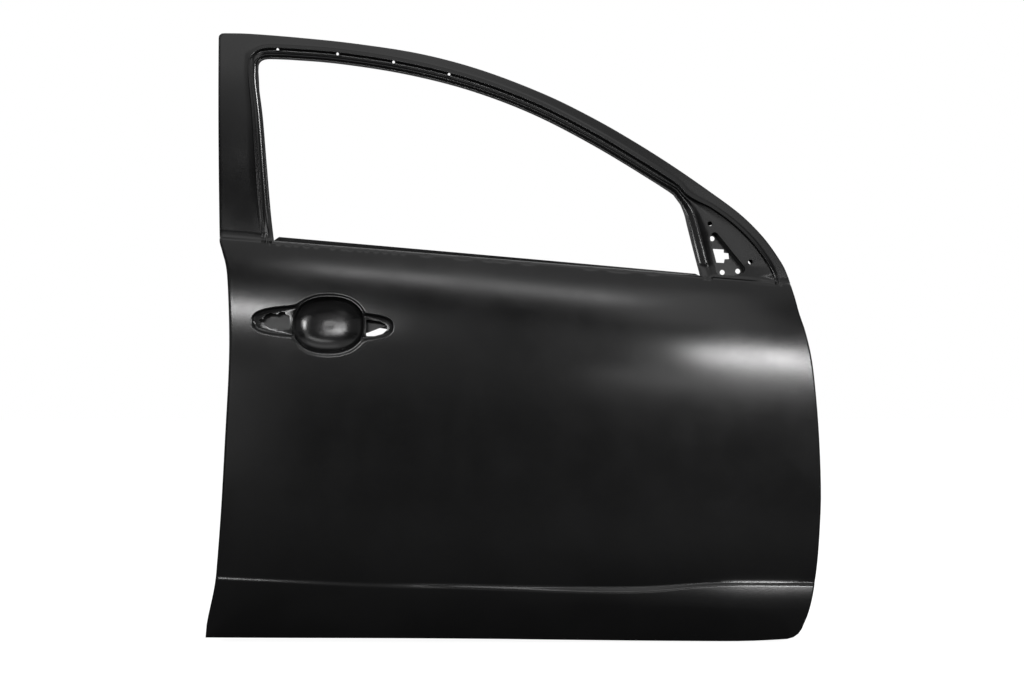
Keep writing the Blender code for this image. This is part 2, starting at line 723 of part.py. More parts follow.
def skin_mesh():
    """The outer sheet: lower panel with its crease and handle recess, window frame, belt edge and hem."""
    rear_column, bottom_line, front_column, outer, inner = outline_sides()
    frame = skin_frame_lines(outer, inner)
    columns = belt_columns(frame[0], frame[-1])
    top = [(x, belt_line(x)) for x in columns]
    top[0], top[-1] = rear_column[-1], front_column[-1]
    bottom = along(bottom_line, even_shares(len(columns) - 1))
    grid = fill_sheet(rear_column, bottom, front_column, top)

    mesh = bmesh.new()
    rows = []
    for line in grid:
        rows.append(vertex_row(mesh, [surface_point(place) for place in line]))
    lines = [vertex_row(mesh, [surface_point(entry, entry[2]) for entry in line]) for line in frame]

    left, right, low, high = recess_block(grid)
    for j in range(len(rows) - 1):
        for i in range(len(top) - 1):
            if not (left <= i < right and low <= j < high):
                mesh.faces.new((rows[j][i], rows[j][i + 1], rows[j + 1][i + 1], rows[j + 1][i]))
    # Belt edge: up to the frame at both ends, turned in towards the glass between them
    sill = [surface_point((x, belt_line(x) + BELT_STEP_RISE), PINCH_DEPTH) for x in columns]
    pillar, sail = len(frame[0]), len(frame[-1])
    step = lines[0] + vertex_row(mesh, sill[pillar:-sail]) + lines[-1][::-1]
    quad_strip(mesh, rows[-1], step)
    for first, second in zip(lines, lines[1:]):
        for n in range(len(first) - 1):
            mesh.faces.new((first[n], first[n + 1], second[n + 1], second[n]))

    # Handle recess
    border = rows[low][left:right] + [rows[j][right] for j in range(low, high)]
    border += rows[high][right:left:-1] + [rows[j][left] for j in range(high, low, -1)]
    rings = [vertex_row(mesh, [surface_point(p, p[2]) for p in ring]) for ring in recess_rings()]
    join_loops(mesh, border, rings[0])
    for first, second in zip(rings, rings[1:]):
        quad_strip(mesh, first, second, closed=True)
    mesh.faces.new(rings[-1])
    unused = [v for v in mesh.verts if not v.link_faces]
    bmesh.ops.delete(mesh, geom=unused, context='VERTS')

    # Hem: over the edge and back against the inner panel's flange
    edge = outline_loop(rows[0], [row[-1] for row in rows], [line[0] for line in lines],
                        [row[0] for row in rows])
    flat = [(v.co.x, v.co.z) for v in edge]
    depth = 2 * SKIN_GAUGE + FLANGE_SEAT + 4 * GAP
    fold = vertex_row(mesh, [(v.co.x, v.co.y + depth, v.co.z) for v in edge])
    skin_at = sheet_surface(mesh)
    hem_share = (HEM_WIDTH - FLANGE_INSET) / (FLANGE_WIDTH - FLANGE_INSET)
    lip = []
    for place, near, far in zip(inset(flat, HEM_WIDTH), inset(flat, FLANGE_INSET), inset(flat, FLANGE_WIDTH)):
        outer_seat = flange_depth(skin_at, near, EDGE_REACH)
        inner_seat = flange_depth(skin_at, far, SHOULDER_REACH)
        seat = mix(outer_seat, inner_seat, hem_share)
        lip.append((place[0], seat + SKIN_GAUGE + PANEL_GAUGE + 7 * GAP, place[1]))
    lip = vertex_row(mesh, lip)
    quad_strip(mesh, fold, edge, closed=True)
    quad_strip(mesh, lip, fold, closed=True)
    bmesh.ops.remove_doubles(mesh, verts=mesh.verts, dist=MERGE_DISTANCE)
    return mesh


def clamp_walls(place):
    """Keep the hinge wall and the latch wall flat."""
    x, z = place
    if FRONT_WALL_LOW < z < FRONT_WALL_HIGH:
        x = min(x, FRONT_WALL_X)
    if REAR_WALL_LOW < z < REAR_WALL_HIGH:
        x = max(x, REAR_WALL_X)
    return x, z


# Sections of the inner panel across the frame: (distance from the opening, depth)
INNER_SECTION = (
    (CHANNEL_DEPTH + 2 * CHANNEL_CLEARANCE, FRAME_THICKNESS),
    (CHANNEL_DEPTH + 1.5 * CHANNEL_CLEARANCE, PINCH_DEPTH + SKIN_GAUGE + 2 * GAP),
    (0.0, PINCH_DEPTH + SKIN_GAUGE + 2 * GAP),
)


def inner_frame_lines(ring, inner):
    """Rows of points in space across the frame of the inner panel, from its outer wall to the opening."""
    rows = []
    for a, b in zip(ring, inner):
        width = math.dist(a, b)
        row = [surface_point(a, FRAME_THICKNESS)]
        for distance, depth in INNER_SECTION:
            place = mix_points(a, b, 1 - distance / width)
            row.append(surface_point(place, depth))
        rows.append(row)
    return rows


def pan_depth(top_depth, share):
    """Depth of the inner panel's face, which leans out to the belt over its last stretch."""
    lean_share = smooth_step(1 - (1 - share) * WAIST_HEIGHT / INNER_LEAN)
    return mix(INNER_DEPTH, top_depth, lean_share)


def panel_mesh(skin_at):
    """The inner sheet: hem flange, deep wall, stepped pan and the inboard half of the window frame."""
    rear_column, bottom_line, front_column, outer, inner = outline_sides()
    columns = 2 * (len(INNER_SECTION) + 1) + len(SILL_SHARES)
    bottom = along(bottom_line, even_shares(columns - 1))
    loop = outline_loop(bottom, front_column, outer, rear_column)
    foot = [clamp_walls(place) for place in inset(loop, FLANGE_WIDTH + WALL_DRAFT)]
    sides = split_loop(foot, columns - 1, len(ROW_SHARES) - 1, len(outer))
    foot_bottom, foot_front, foot_frame, foot_rear = sides

    frame = inner_frame_lines(foot_frame, inner)
    belt_x = belt_columns(frame[0], frame[-1])
    top = [(x, belt_line(x)) for x in belt_x]
    top[0], top[-1] = foot_rear[-1], foot_front[-1]
    frame_columns = len(frame[0])
    sill = []
    for n, x in enumerate(belt_x[frame_columns:-frame_columns]):
        rise = mix(INNER_BELT_RISE, 0.55 * INNER_BELT_RISE, SILL_SHARES[n])
        sill.append((x, skin_depth(x, belt_line(x)) + INNER_BELT_DEPTH, belt_line(x) + rise))
    step = frame[0] + sill + frame[-1][::-1]

    mesh = bmesh.new()
    rows = []
    for j, line in enumerate(fill_sheet(foot_rear, foot_bottom, foot_front, top)):
        points = []
        for i, (x, z) in enumerate(line):
            inside = PAN_BORDER <= i < columns - PAN_BORDER and 3 <= j <= len(ROW_SHARES) - 6
            depth = pan_depth(step[i][1], ROW_SHARES[j]) - (PAN_STEP if inside else 0.0)
            points.append((x, depth, z))
        rows.append(vertex_row(mesh, points))
    lines = [vertex_row(mesh, line) for line in frame]
    step_row = lines[0] + vertex_row(mesh, sill) + lines[-1][::-1]
    for first, second in zip(rows + [step_row], rows[1:] + [step_row]):
        if first is not second:
            quad_strip(mesh, first, second)
    for first, second in zip(lines, lines[1:]):
        for n in range(len(first) - 1):
            mesh.faces.new((first[n], first[n + 1], second[n + 1], second[n]))

    base = outline_loop(rows[0], [row[-1] for row in rows], [line[0] for line in lines],
                        [row[0] for row in rows])
    flange = []
    shoulder_line = [clamp_walls(place) for place in inset(loop, FLANGE_WIDTH)]
    for places, reach in ((shoulder_line, SHOULDER_REACH), (inset(loop, FLANGE_INSET), EDGE_REACH)):
        points = [(place[0], flange_depth(skin_at, place, reach), place[1]) for place in places]
        flange.append(vertex_row(mesh, points))
    shoulder, edge = flange
    quad_strip(mesh, shoulder, base, closed=True)
    quad_strip(mesh, edge, shoulder, closed=True)
    bmesh.ops.remove_doubles(mesh, verts=mesh.verts, dist=MERGE_DISTANCE)
    return mesh


def sheet_surface(mesh):
    """A function that finds the depth of a built sheet at a place on the door."""
    tree = BVHTree.FromBMesh(mesh)

    def depth_at(x, z):
        hit = tree.ray_cast(Vector((x, -1, z)), Vector((0, 1, 0)))[0]
        return hit.y if hit else skin_depth(x, z)
    return depth_at


# Solids and cutters

def prism(points, low, high, axis):
    """A closed solid with an outline across an axis, from low to high along it."""
    order = {'X': (2, 0, 1), 'Y': (0, 2, 1)}[axis]

    def spread(point, level):
        values = (point[0], point[1], level)
        return tuple(values[n] for n in order)
    mesh = bmesh.new()
    base = mesh.faces.new(vertex_row(mesh, [spread(point, low) for point in points]))
    made = bmesh.ops.extrude_face_region(mesh, geom=[base])['geom']
    shift = Vector(spread((0, 0), high - low))
    bmesh.ops.translate(mesh, verts=[v for v in made if isinstance(v, bmesh.types.BMVert)], vec=shift)
    bmesh.ops.recalc_face_normals(mesh, faces=mesh.faces)
    return mesh


def circle_points(middle, radius, sides):
    return [(middle[0] + radius * math.cos(2 * math.pi * n / sides),
             middle[1] + radius * math.sin(2 * math.pi * n / sides)) for n in range(sides)]


def rounded_outline(corners, radius, steps=3):
    """A closed outline whose corners are bends that start a radius away from them."""
    outline = []
    for n, corner in enumerate(corners):
        before, after = corners[n - 1], corners[(n + 1) % len(corners)]
        a = mix_points(corner, before, min(0.5, radius / math.dist(corner, before)))
        b = mix_points(corner, after, min(0.5, radius / math.dist(corner, after)))
        outline += [a, *rounded_corner(a, corner, b, steps), b]
    return outline


def swept_sheet(paths):
    """A sheet through rows of points, one row a section."""
    mesh = bmesh.new()
    rows = [vertex_row(mesh, path) for path in paths]
    for first, second in zip(rows, rows[1:]):
        quad_strip(mesh, first, second)
    return mesh


# Cutters for the holes

def sail_outline():
    corners = place_frame(SAIL_OPENING_SHARES)
    return rounded_outline(corners, SAIL_CORNER_RADIUS)


def place_on_panel(share_x, share_z):
    """A place on the lower panel from its shares of the length and of the waist height."""
    return DOOR_LENGTH * share_x, WAIST_HEIGHT * share_z


def skin_cutters():
    """Holes through the outer skin: handle, mirror opening, trim holes and clip holes."""
    west = BOWL_X - 0.5 * BOWL_LENGTH
    east = BOWL_X + 0.5 * BOWL_LENGTH
    tall = 0.5 * REAR_LOBE_HEIGHT - LOBE_RIM
    keyhole = [(west - REAR_LOBE_LENGTH * x, BOWL_Z + REAR_LOBE_RISE + tall * z) for x, z in KEYHOLE_SHARES]
    tall = 0.5 * FRONT_LOBE_HEIGHT - LOBE_RIM
    hook = [(east + FRONT_LOBE_LENGTH * x, BOWL_Z + FRONT_LOBE_RISE + tall * z) for x, z in HOOK_HOLE_SHARES]
    cutters = [prism(keyhole, -OVERRUN, OVERRUN, 'Y'), prism(hook, -OVERRUN, OVERRUN, 'Y')]
    frame_reach = TUMBLEHOME * FRAME_HEIGHT + BELT_DEPTH + 2 * OVERRUN
    cutters.append(prism(sail_outline(), 0, frame_reach, 'Y'))
    for share in TRIM_HOLE_SHARES:
        trim_hole = circle_points(trim_hole_place(share), TRIM_HOLE_RADIUS, 8)
        cutters.append(prism(trim_hole, 0, 2 * frame_reach, 'Y'))
    for place in place_frame(CLIP_HOLE_SHARES):
        cutters.append(prism(circle_points(place, CLIP_HOLE_RADIUS, 10), 0, frame_reach, 'Y'))
    return cutters


def trim_hole_place(share):
    """A place in the header's groove, at a share along the top of the opening."""
    line = header_line()
    place = along(line, [share])[0]
    before, after = along(line, [share - 0.01, share + 0.01])
    run = (Vector(after) - Vector(before)).normalized()
    return tuple(Vector(place) + Vector((-run.y, run.x)) * TRIM_HOLE_INSET)


def header_line():
    first = PILLAR_STATIONS + 1 + CORNER_POINTS
    return outline_sides()[4][first:first + HEADER_STATIONS + 1]


def hinge_bolt_places():
    """Places (y, z) of the four hinge bolts on the front wall."""
    places = []
    for middle in (HINGE_UPPER_Z, HINGE_LOWER_Z):
        for side in (-0.5, 0.5):
            places.append((HINGE_Y, middle + side * HINGE_BOLT_SPACING))
    return places


def bolt_cutters():
    reach = (FRONT_WALL_X - OVERRUN, FRONT_WALL_X + OVERRUN)
    return [prism(circle_points(place, HINGE_BOLT_RADIUS, 10), *reach, 'X') for place in hinge_bolt_places()]


def slot_outline(middle, width, height, radius):
    """An upright rounded rectangle round a middle."""
    y, z = middle
    half, tall = 0.5 * width, 0.5 * height
    corners = [(y - half, z - tall), (y + half, z - tall), (y + half, z + tall), (y - half, z + tall)]
    return rounded_outline(corners, radius, 2)


def check_cutter():
    slot = slot_outline((HINGE_Y, CHECK_Z), CHECK_WIDTH, CHECK_HEIGHT, 0.3 * CHECK_WIDTH)
    return prism(slot, FRONT_WALL_X - OVERRUN, FRONT_WALL_X + OVERRUN, 'X')


def latch_cutter():
    slot = slot_outline((LATCH_Y, LATCH_Z), LATCH_SLOT_WIDTH, LATCH_SLOT_HEIGHT, 0.2 * LATCH_SLOT_WIDTH)
    return prism(slot, REAR_WALL_X - OVERRUN, REAR_WALL_X + OVERRUN, 'X')


def seat_cutters():
    """Shallow cuts that leave the hinge wall and the latch wall truly flat."""
    cutters = []
    near, far = PLATE_NEAR_DEPTH, INNER_DEPTH + OVERRUN
    front = seat_face_x()
    rear = REAR_WALL_X - PANEL_GAUGE + SEAT_SKIM
    walls = ((FRONT_WALL_LOW, FRONT_WALL_HIGH, front, front + OVERRUN),
             (REAR_WALL_LOW, REAR_WALL_HIGH, rear - OVERRUN, rear))
    for wall_low, wall_high, x_low, x_high in walls:
        low, high = wall_low + SEAT_MARGIN, wall_high - SEAT_MARGIN
        outline = [(near, low), (far, low), (far, high), (near, high)]
        cutters.append(prism(outline, x_low, x_high, 'X'))
    return cutters


def seat_face_x():
    """Place of the hinge wall's outer face along the door."""
    return FRONT_WALL_X + PANEL_GAUGE - SEAT_SKIM


def panel_cutters():
    """Holes through the inner panel."""
    cutters = seat_cutters() + bolt_cutters() + [check_cutter(), latch_cutter()]
    span = (INNER_DEPTH - OVERRUN, INNER_DEPTH + OVERRUN)
    for shares in (REAR_SERVICE_SHARES, FRONT_SERVICE_SHARES):
        corners = [place_on_panel(*share) for share in shares]
        cutters.append(prism(rounded_outline(corners, SERVICE_CORNER), *span, 'Y'))
    speaker = place_on_panel(*SPEAKER_SHARES)
    cutters.append(prism(circle_points(speaker, SPEAKER_RADIUS, 28), *span, 'Y'))
    for shares in CLIP_PLACES_SHARES:
        cutters.append(prism(circle_points(place_on_panel(*shares), TRIM_CLIP_RADIUS, 8), *span, 'Y'))
    grommet = circle_points((HINGE_Y, GROMMET_Z), GROMMET_RADIUS, 14)
    cutters.append(prism(grommet, FRONT_WALL_X - OVERRUN, FRONT_WALL_X + OVERRUN, 'X'))
    depth = skin_depth(*place_frame(SAIL_OPENING_SHARES)[0])
    cutters.append(prism(inset(sail_outline(), -MIRROR_CLEARANCE), depth, depth + OVERRUN, 'Y'))
    for share in TRIM_HOLE_SHARES:
        place = trim_hole_place(share)
        depth = skin_depth(*place) + FRAME_THICKNESS
        hole = circle_points(place, TRIM_ACCESS_RADIUS, 8)
        cutters.append(prism(hole, depth - 0.2 * OVERRUN, depth + 0.2 * OVERRUN, 'Y'))
    return cutters


# Pieces between the sheets

def channel_paths(line, side):
    """Sections of a glass channel along a line, open on one side; side is 1 or -1."""
    paths = []
    depth = PINCH_DEPTH + SKIN_GAUGE + PANEL_GAUGE + CHANNEL_STAND
    for n, place in enumerate(line):
        before, after = line[max(0, n - 1)], line[min(len(line) - 1, n + 1)]
        run = (Vector(after) - Vector(before)).normalized()
        into = Vector((run.y, -run.x)) * side
        section = []
        for reach, lift in ((CHANNEL_LIP, 0.0), (CHANNEL_DEPTH, 0.0),
                            (CHANNEL_DEPTH, CHANNEL_WIDTH), (2 * CHANNEL_LIP, CHANNEL_WIDTH)):
            x, z = Vector(place) - into * reach
            section.append((x, glass_depth(x, z) + depth + lift, z))
        paths.append(section)
    return paths if side < 0 else paths[::-1]


def lower_channel_line(foot, above, start, drop):
    """The line of a glass channel inside the door, in the direction of the window's edge above it."""
    lean = (Vector(foot) - Vector(above)).normalized()
    return [tuple(Vector(foot) + lean * mix(drop, start, share)) for share in even_shares(4)]


def glass_depth(x, z):
    """The surface on which the frame lies, carried on down inside the door."""
    below = belt_line(x) - z
    lean = BELT_DEPTH + FRAME_SETBACK - TUMBLEHOME * below
    return lean + below ** 2 / (2 * TUMBLE_RADIUS) + plan_depth(x)


def hat_rail(depth_at, edge_z, side, x_from, x_to):
    """A hat-shaped rail along the belt, its flanges on a sheet; side is 1 inboard of it, -1 outboard."""
    paths = []
    steps = 12
    reach = 0.25 * BELT_RAIL_FLANGE
    clearance = (SKIN_GAUGE + 3 * GAP) if side > 0 else -3 * GAP
    for n in range(steps + 1):
        x = mix(x_from, x_to, n / steps)
        top = edge_z(x)
        section = []
        for drop, raised in ((0, 0), (BELT_RAIL_FLANGE, 0), (BELT_RAIL_FLANGE + 0.2 * BELT_RAIL_WEB, 1),
                             (BELT_RAIL_FLANGE + BELT_RAIL_WEB, 1), (BELT_RAIL_FLANGE + 1.2 * BELT_RAIL_WEB, 0),
                             (2 * BELT_RAIL_FLANGE + 1.2 * BELT_RAIL_WEB, 0)):
            z = top - drop
            y = behind(lambda u, w: side * depth_at(u, w), x, z, reach) * side
            section.append((x, y + clearance + side * raised * BELT_RAIL_DEPTH, z))
        paths.append(section)
    return paths


def beam_ends():
    rear = Vector((BEAM_REAR_X, BEAM_REAR_DEPTH, BEAM_REAR_Z))
    front = Vector((BEAM_FRONT_X, BEAM_FRONT_DEPTH, BEAM_FRONT_Z))
    return rear, front


def beam_point(x):
    rear, front = beam_ends()
    return rear.lerp(front, (x - rear.x) / (front.x - rear.x))


def saddle_paths(x_from, x_to):
    """Sections of a saddle bracket: an ear, half round the inboard side of the beam, and an ear."""
    radius = (BEAM_RADIUS + GAP) / math.cos(math.pi / BEAM_SIDES)
    turns = [math.pi * n / 8 - 0.5 * math.pi for n in range(9)]
    section = [(0.0, -radius - BRACKET_EAR)]
    section += [(radius * math.cos(turn), radius * math.sin(turn)) for turn in turns]
    section += [(0.0, radius + BRACKET_EAR)]
    section.reverse()
    paths = []
    for share in even_shares(3):
        middle = beam_point(mix(x_from, x_to, share))
        paths.append([(middle.x, middle.y + y, middle.z + z) for y, z in section])
    return paths


def corner_plate(wall_x, toward, low, high, reach):
    """Sections of an angled plate on a side wall and the pan; toward is 1 at the front wall, -1 at the rear."""
    y_near, y_far = PLATE_NEAR_DEPTH, INNER_DEPTH - GAP
    path = [(wall_x, y_near), (wall_x, y_far), (wall_x - toward * reach, y_far)]
    if toward < 0:
        path.reverse()
    return [[(x, y, z) for x, y in path] for z in (low, high)]


def hex_nut(middle, axis, low, high):
    return prism(circle_points(middle, NUT_WIDTH / math.sqrt(3), 6), low, high, axis)


def mirror_dish():
    """The mirror bracket: a seat behind the mirror opening's rim, a wall and a plate inboard of it."""
    outline = sail_outline()
    seat = GROOVE_DEPTH + SKIN_GAUGE + 2 * GAP
    rings = ((-MIRROR_SEAT_WIDTH, seat), (-0.2 * MIRROR_SEAT_WIDTH, seat), (0.0, seat + MIRROR_PLATE_LIFT))
    mesh = bmesh.new()
    rows = []
    for distance, depth in rings:
        places = inset(outline, distance) if distance else outline
        rows.append(vertex_row(mesh, [(x, glass_depth(x, z) + depth, z) for x, z in places]))
    for first, second in zip(rows, rows[1:]):
        quad_strip(mesh, first, second, closed=True)
    mesh.faces.new(rows[-1])
    return mesh


def handle_plate():
    """The plate behind the handle recess, on the back of the bowl, cut away below the front lobe."""
    mesh = bmesh.new()
    lift = BOWL_DEPTH + SKIN_GAUGE + GAP
    west = BOWL_X - 0.5 * BOWL_LENGTH - REAR_LOBE_LENGTH
    length = BOWL_LENGTH + REAR_LOBE_LENGTH + FRONT_LOBE_LENGTH
    paths = []
    for x_share, low_share, high_share in HANDLE_PLATE_SHARES:
        x = west + length * x_share
        z_low, z_high = BOWL_Z + 0.5 * BOWL_HEIGHT * low_share, BOWL_Z + 0.5 * BOWL_HEIGHT * high_share
        paths.append([surface_point((x, mix(z_high, z_low, n / 3)), lift) for n in range(4)])
    rows = [vertex_row(mesh, path) for path in paths]
    for first, second in zip(rows, rows[1:]):
        quad_strip(mesh, first, second)
    return mesh


# Materials

def painted_steel(name, shade, roughness):
    material = bpy.data.materials.new(name)
    material.use_nodes = True
    shader = material.node_tree.nodes["Principled BSDF"]
    shader.inputs["Base Color"].default_value = (shade, shade, shade, 1.0)
    shader.inputs["Roughness"].default_value = roughness
    shader.inputs["Metallic"].default_value = 0.0
    shader.inputs["Coat Weight"].default_value = 0.3
    return material


def rubber(name):
    material = bpy.data.materials.new(name)
    material.use_nodes = True
    shader = material.node_tree.nodes["Principled BSDF"]
    shader.inputs["Base Color"].default_value = (0.02, 0.02, 0.02, 1.0)
    shader.inputs["Roughness"].default_value = 0.9
    return material


# Building

class Door:
    """Collects the pieces, and the cutters apart from them."""

    def __init__(self):
        for item in list(bpy.data.objects):
            bpy.data.objects.remove(item)
        scene = bpy.context.scene
        self.parts = bpy.data.collections.new("car_door_shell")
        self.cutters = bpy.data.collections.new("cutters")
        scene.collection.children.link(self.parts)
        scene.collection.children.link(self.cutters)
        self.origin = bpy.data.objects.new("door_place", None)
        self.origin.location = (-seat_face_x(), -HINGE_Y, -HINGE_UPPER_Z)
        scene.collection.objects.link(self.origin)

    def piece(self, name, mesh, material, gauge=0.0):
        item = add_object(name, finish_mesh(name, mesh), material, self.parts, self.origin)
        if gauge:
            thicken(item, gauge)
        return item

    def cut(self, item, meshes):
        """Cut closed solids out of a piece, all in one Boolean."""
        tools = bpy.data.collections.new(item.name + "_cutters")
        self.cutters.children.link(tools)
        for n, mesh in enumerate(meshes):
            name = f"{item.name}_cutter_{n}"
            tool = bpy.data.objects.new(name, finish_mesh(name, mesh))
            tools.objects.link(tool)
            tool.parent = self.origin
            tool.hide_render = True
            tool.display_type = 'WIRE'
        boolean = item.modifiers.new("holes", 'BOOLEAN')
        boolean.operation = 'DIFFERENCE'
        boolean.operand_type = 'COLLECTION'
        boolean.collection = tools


def add_sheets(door, coat):
    skin = skin_mesh()
    skin_at = sheet_surface(skin)
    outer_skin = door.piece("outer_skin", skin, coat, SKIN_GAUGE)
    door.cut(outer_skin, skin_cutters())
    panel = panel_mesh(skin_at)
    panel_at = sheet_surface(panel)
    inner_panel = door.piece("inner_panel", panel, coat, PANEL_GAUGE)
    door.cut(inner_panel, panel_cutters())
    return skin_at, panel_at


def add_channels(door, steel):
    inner = outline_sides()[4]
    rear = [mix_points(inner[0], inner[1], 0.3), *inner[1:PILLAR_STATIONS + 1]]
    front = [mix_points(inner[-1], inner[-2], 0.3), *inner[-2:-SAIL_STATIONS - 1:-1]]
    rear_lower = lower_channel_line(*rear[:2], REAR_CHANNEL_FOOT, REAR_CHANNEL_DROP)
    front_lower = lower_channel_line(*front[:2], FRONT_CHANNEL_FOOT, FRONT_CHANNEL_DROP)
    routes = (
        ("glass_channel_rear", rear, 1),
        ("glass_channel_header", header_line(), 1),
        ("glass_channel_front", front, -1),
        ("glass_channel_lower_rear", rear_lower, 1),
        ("glass_channel_lower_front", front_lower, -1),
    )
    for name, line, side in routes:
        door.piece(name, swept_sheet(channel_paths(line, side)), steel, CHANNEL_GAUGE)


def add_belt_rails(door, skin_at, panel_at, steel):
    inner = outline_sides()[4]
    x_from, x_to = inner[0][0] + BELT_RAIL_END, inner[-1][0] - BELT_RAIL_END
    outer_rail = hat_rail(skin_at, lambda x: belt_line(x) - BELT_STEP_RISE, 1, x_from, x_to)
    door.piece("belt_rail_outer", swept_sheet(outer_rail), steel, PLATE_GAUGE)
    inner_rail = hat_rail(panel_at, lambda x: belt_line(x) + BELT_STEP_RISE, -1, x_from, x_to)
    door.piece("belt_rail_inner", swept_sheet([path[::-1] for path in inner_rail]), steel, PLATE_GAUGE)


def add_beam(door, skin_at, steel, mastic):
    rear, front = beam_ends()
    tube = bmesh.new()
    rings = []
    for middle in (rear, front):
        ring = circle_points((middle.y, middle.z), BEAM_RADIUS, BEAM_SIDES)
        rings.append(vertex_row(tube, [(middle.x, y, z) for y, z in ring]))
    quad_strip(tube, rings[0], rings[1], closed=True)
    door.piece("impact_beam", tube, steel, BEAM_GAUGE)
    spans = (("impact_beam_bracket_rear", BEAM_REAR_X - 0.6 * BRACKET_LENGTH, 1),
             ("impact_beam_bracket_front", BEAM_FRONT_X + 0.48 * BRACKET_LENGTH, -1))
    for name, x_end, toward in spans:
        x_from, x_to = sorted((x_end, x_end + toward * BRACKET_LENGTH))
        door.piece(name, swept_sheet(saddle_paths(x_from, x_to)), steel, PLATE_GAUGE)
    for n, share in enumerate(PAD_PLACES_SHARES):
        middle = beam_point(mix(rear.x, front.x, share))
        ring = circle_points((middle.x, middle.z), PAD_RADIUS, 12)
        near = max(skin_at(x, z) for x, z in ring) + SKIN_GAUGE + 2 * GAP
        lean = (front - rear).normalized()
        far = middle.y - (BEAM_RADIUS + GAP) / lean.x - PAD_RADIUS * abs(lean.y / lean.x) - GAP
        pad = prism(ring, near, far, 'Y')
        door.piece(f"anti_flutter_pad_{n + 1}", pad, mastic)


def add_hinge_and_latch_plates(door, steel):
    wall = FRONT_WALL_X - GAP
    for name, middle in (("upper", HINGE_UPPER_Z), ("lower", HINGE_LOWER_Z)):
        low, high = middle - 0.5 * HINGE_PLATE_HEIGHT, middle + 0.5 * HINGE_PLATE_HEIGHT
        plate = swept_sheet(corner_plate(wall, 1, low, high, PLATE_REACH))
        item = door.piece(f"hinge_reinforcement_{name}", plate, steel, PLATE_GAUGE)
        door.cut(item, bolt_cutters())
    nut_high = wall - PLATE_GAUGE - GAP
    for n, place in enumerate(hinge_bolt_places()):
        nut = door.piece(f"hinge_nut_{n + 1}", hex_nut(place, 'X', nut_high - NUT_HEIGHT, nut_high), steel)
        door.cut(nut, bolt_cutters())
    low, high = CHECK_Z - 0.9 * CHECK_HEIGHT, CHECK_Z + 0.9 * CHECK_HEIGHT
    plate = corner_plate(wall, 1, low, high, 0.6 * PLATE_REACH)
    door.cut(door.piece("check_strap_plate", swept_sheet(plate), steel, PLATE_GAUGE), [check_cutter()])
    low, high = LATCH_Z - 0.5 * LATCH_HEIGHT, LATCH_Z + 0.5 * LATCH_HEIGHT
    plate = corner_plate(REAR_WALL_X + GAP, -1, low, high, PLATE_REACH)
    door.cut(door.piece("latch_reinforcement", swept_sheet(plate), steel, PLATE_GAUGE), [latch_cutter()])


def add_mirror_bracket(door, steel):
    low = glass_depth(*place_frame(MIRROR_HOLE_SHARES)[0]) - OVERRUN
    holes = [prism(circle_points(place, MIRROR_HOLE_RADIUS, 12), low, low + 3 * OVERRUN, 'Y')
             for place in place_frame(MIRROR_HOLE_SHARES)]
    connector = prism(place_frame(CONNECTOR_SHARES), low, low + 3 * OVERRUN, 'Y')
    bracket = door.piece("mirror_bracket", mirror_dish(), steel, PLATE_GAUGE)
    door.cut(bracket, [*holes, connector])
    lift = GROOVE_DEPTH + SKIN_GAUGE + MIRROR_PLATE_LIFT + 2 * PLATE_GAUGE + 6 * GAP
    for n, place in enumerate(place_frame(MIRROR_HOLE_SHARES)):
        near = glass_depth(*place) + lift
        nut = door.piece(f"mirror_nut_{n + 1}", hex_nut(place, 'Y', near, near + 0.6 * NUT_HEIGHT), steel)
        hole = prism(circle_points(place, MIRROR_HOLE_RADIUS, 12), low, low + 3 * OVERRUN, 'Y')
        door.cut(nut, [hole])


def add_handle_plate(door, steel):
    door.piece("handle_bracket", handle_plate(), steel, PLATE_GAUGE)


def main():
    door = Door()
    coat = painted_steel("black_e_coat", 0.018, 0.36)
    steel = painted_steel("black_e_coat_inside", 0.014, 0.5)
    mastic = rubber("mastic")
    skin_at, panel_at = add_sheets(door, coat)
    add_channels(door, steel)
    add_belt_rails(door, skin_at, panel_at, steel)
    add_beam(door, skin_at, steel, mastic)
    add_hinge_and_latch_plates(door, steel)
    add_mirror_bracket(door, steel)
    add_handle_plate(door, steel)


main()
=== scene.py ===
import bmesh
import bpy
import math
import numpy as np
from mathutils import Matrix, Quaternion, Vector
from mathutils.bvhtree import BVHTree


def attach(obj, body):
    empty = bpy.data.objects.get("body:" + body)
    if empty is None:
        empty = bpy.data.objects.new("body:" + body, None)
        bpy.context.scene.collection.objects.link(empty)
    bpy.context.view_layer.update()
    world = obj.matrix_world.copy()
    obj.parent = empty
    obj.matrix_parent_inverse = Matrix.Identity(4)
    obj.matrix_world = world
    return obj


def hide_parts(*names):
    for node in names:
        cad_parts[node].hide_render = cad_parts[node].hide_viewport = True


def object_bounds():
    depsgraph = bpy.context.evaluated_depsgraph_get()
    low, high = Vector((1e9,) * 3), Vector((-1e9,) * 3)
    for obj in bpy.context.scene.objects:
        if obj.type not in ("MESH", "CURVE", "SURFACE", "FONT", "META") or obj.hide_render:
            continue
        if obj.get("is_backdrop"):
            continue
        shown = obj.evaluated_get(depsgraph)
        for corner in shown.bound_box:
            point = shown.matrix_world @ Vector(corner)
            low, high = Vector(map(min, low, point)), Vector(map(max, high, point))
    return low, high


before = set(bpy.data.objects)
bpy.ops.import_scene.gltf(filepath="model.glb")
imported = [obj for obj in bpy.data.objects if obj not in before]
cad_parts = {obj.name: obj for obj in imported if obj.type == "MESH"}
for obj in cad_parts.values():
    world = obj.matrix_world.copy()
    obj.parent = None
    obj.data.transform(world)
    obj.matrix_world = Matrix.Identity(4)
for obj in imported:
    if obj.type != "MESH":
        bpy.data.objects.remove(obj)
cadLow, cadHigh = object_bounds()
print("frame loaded")

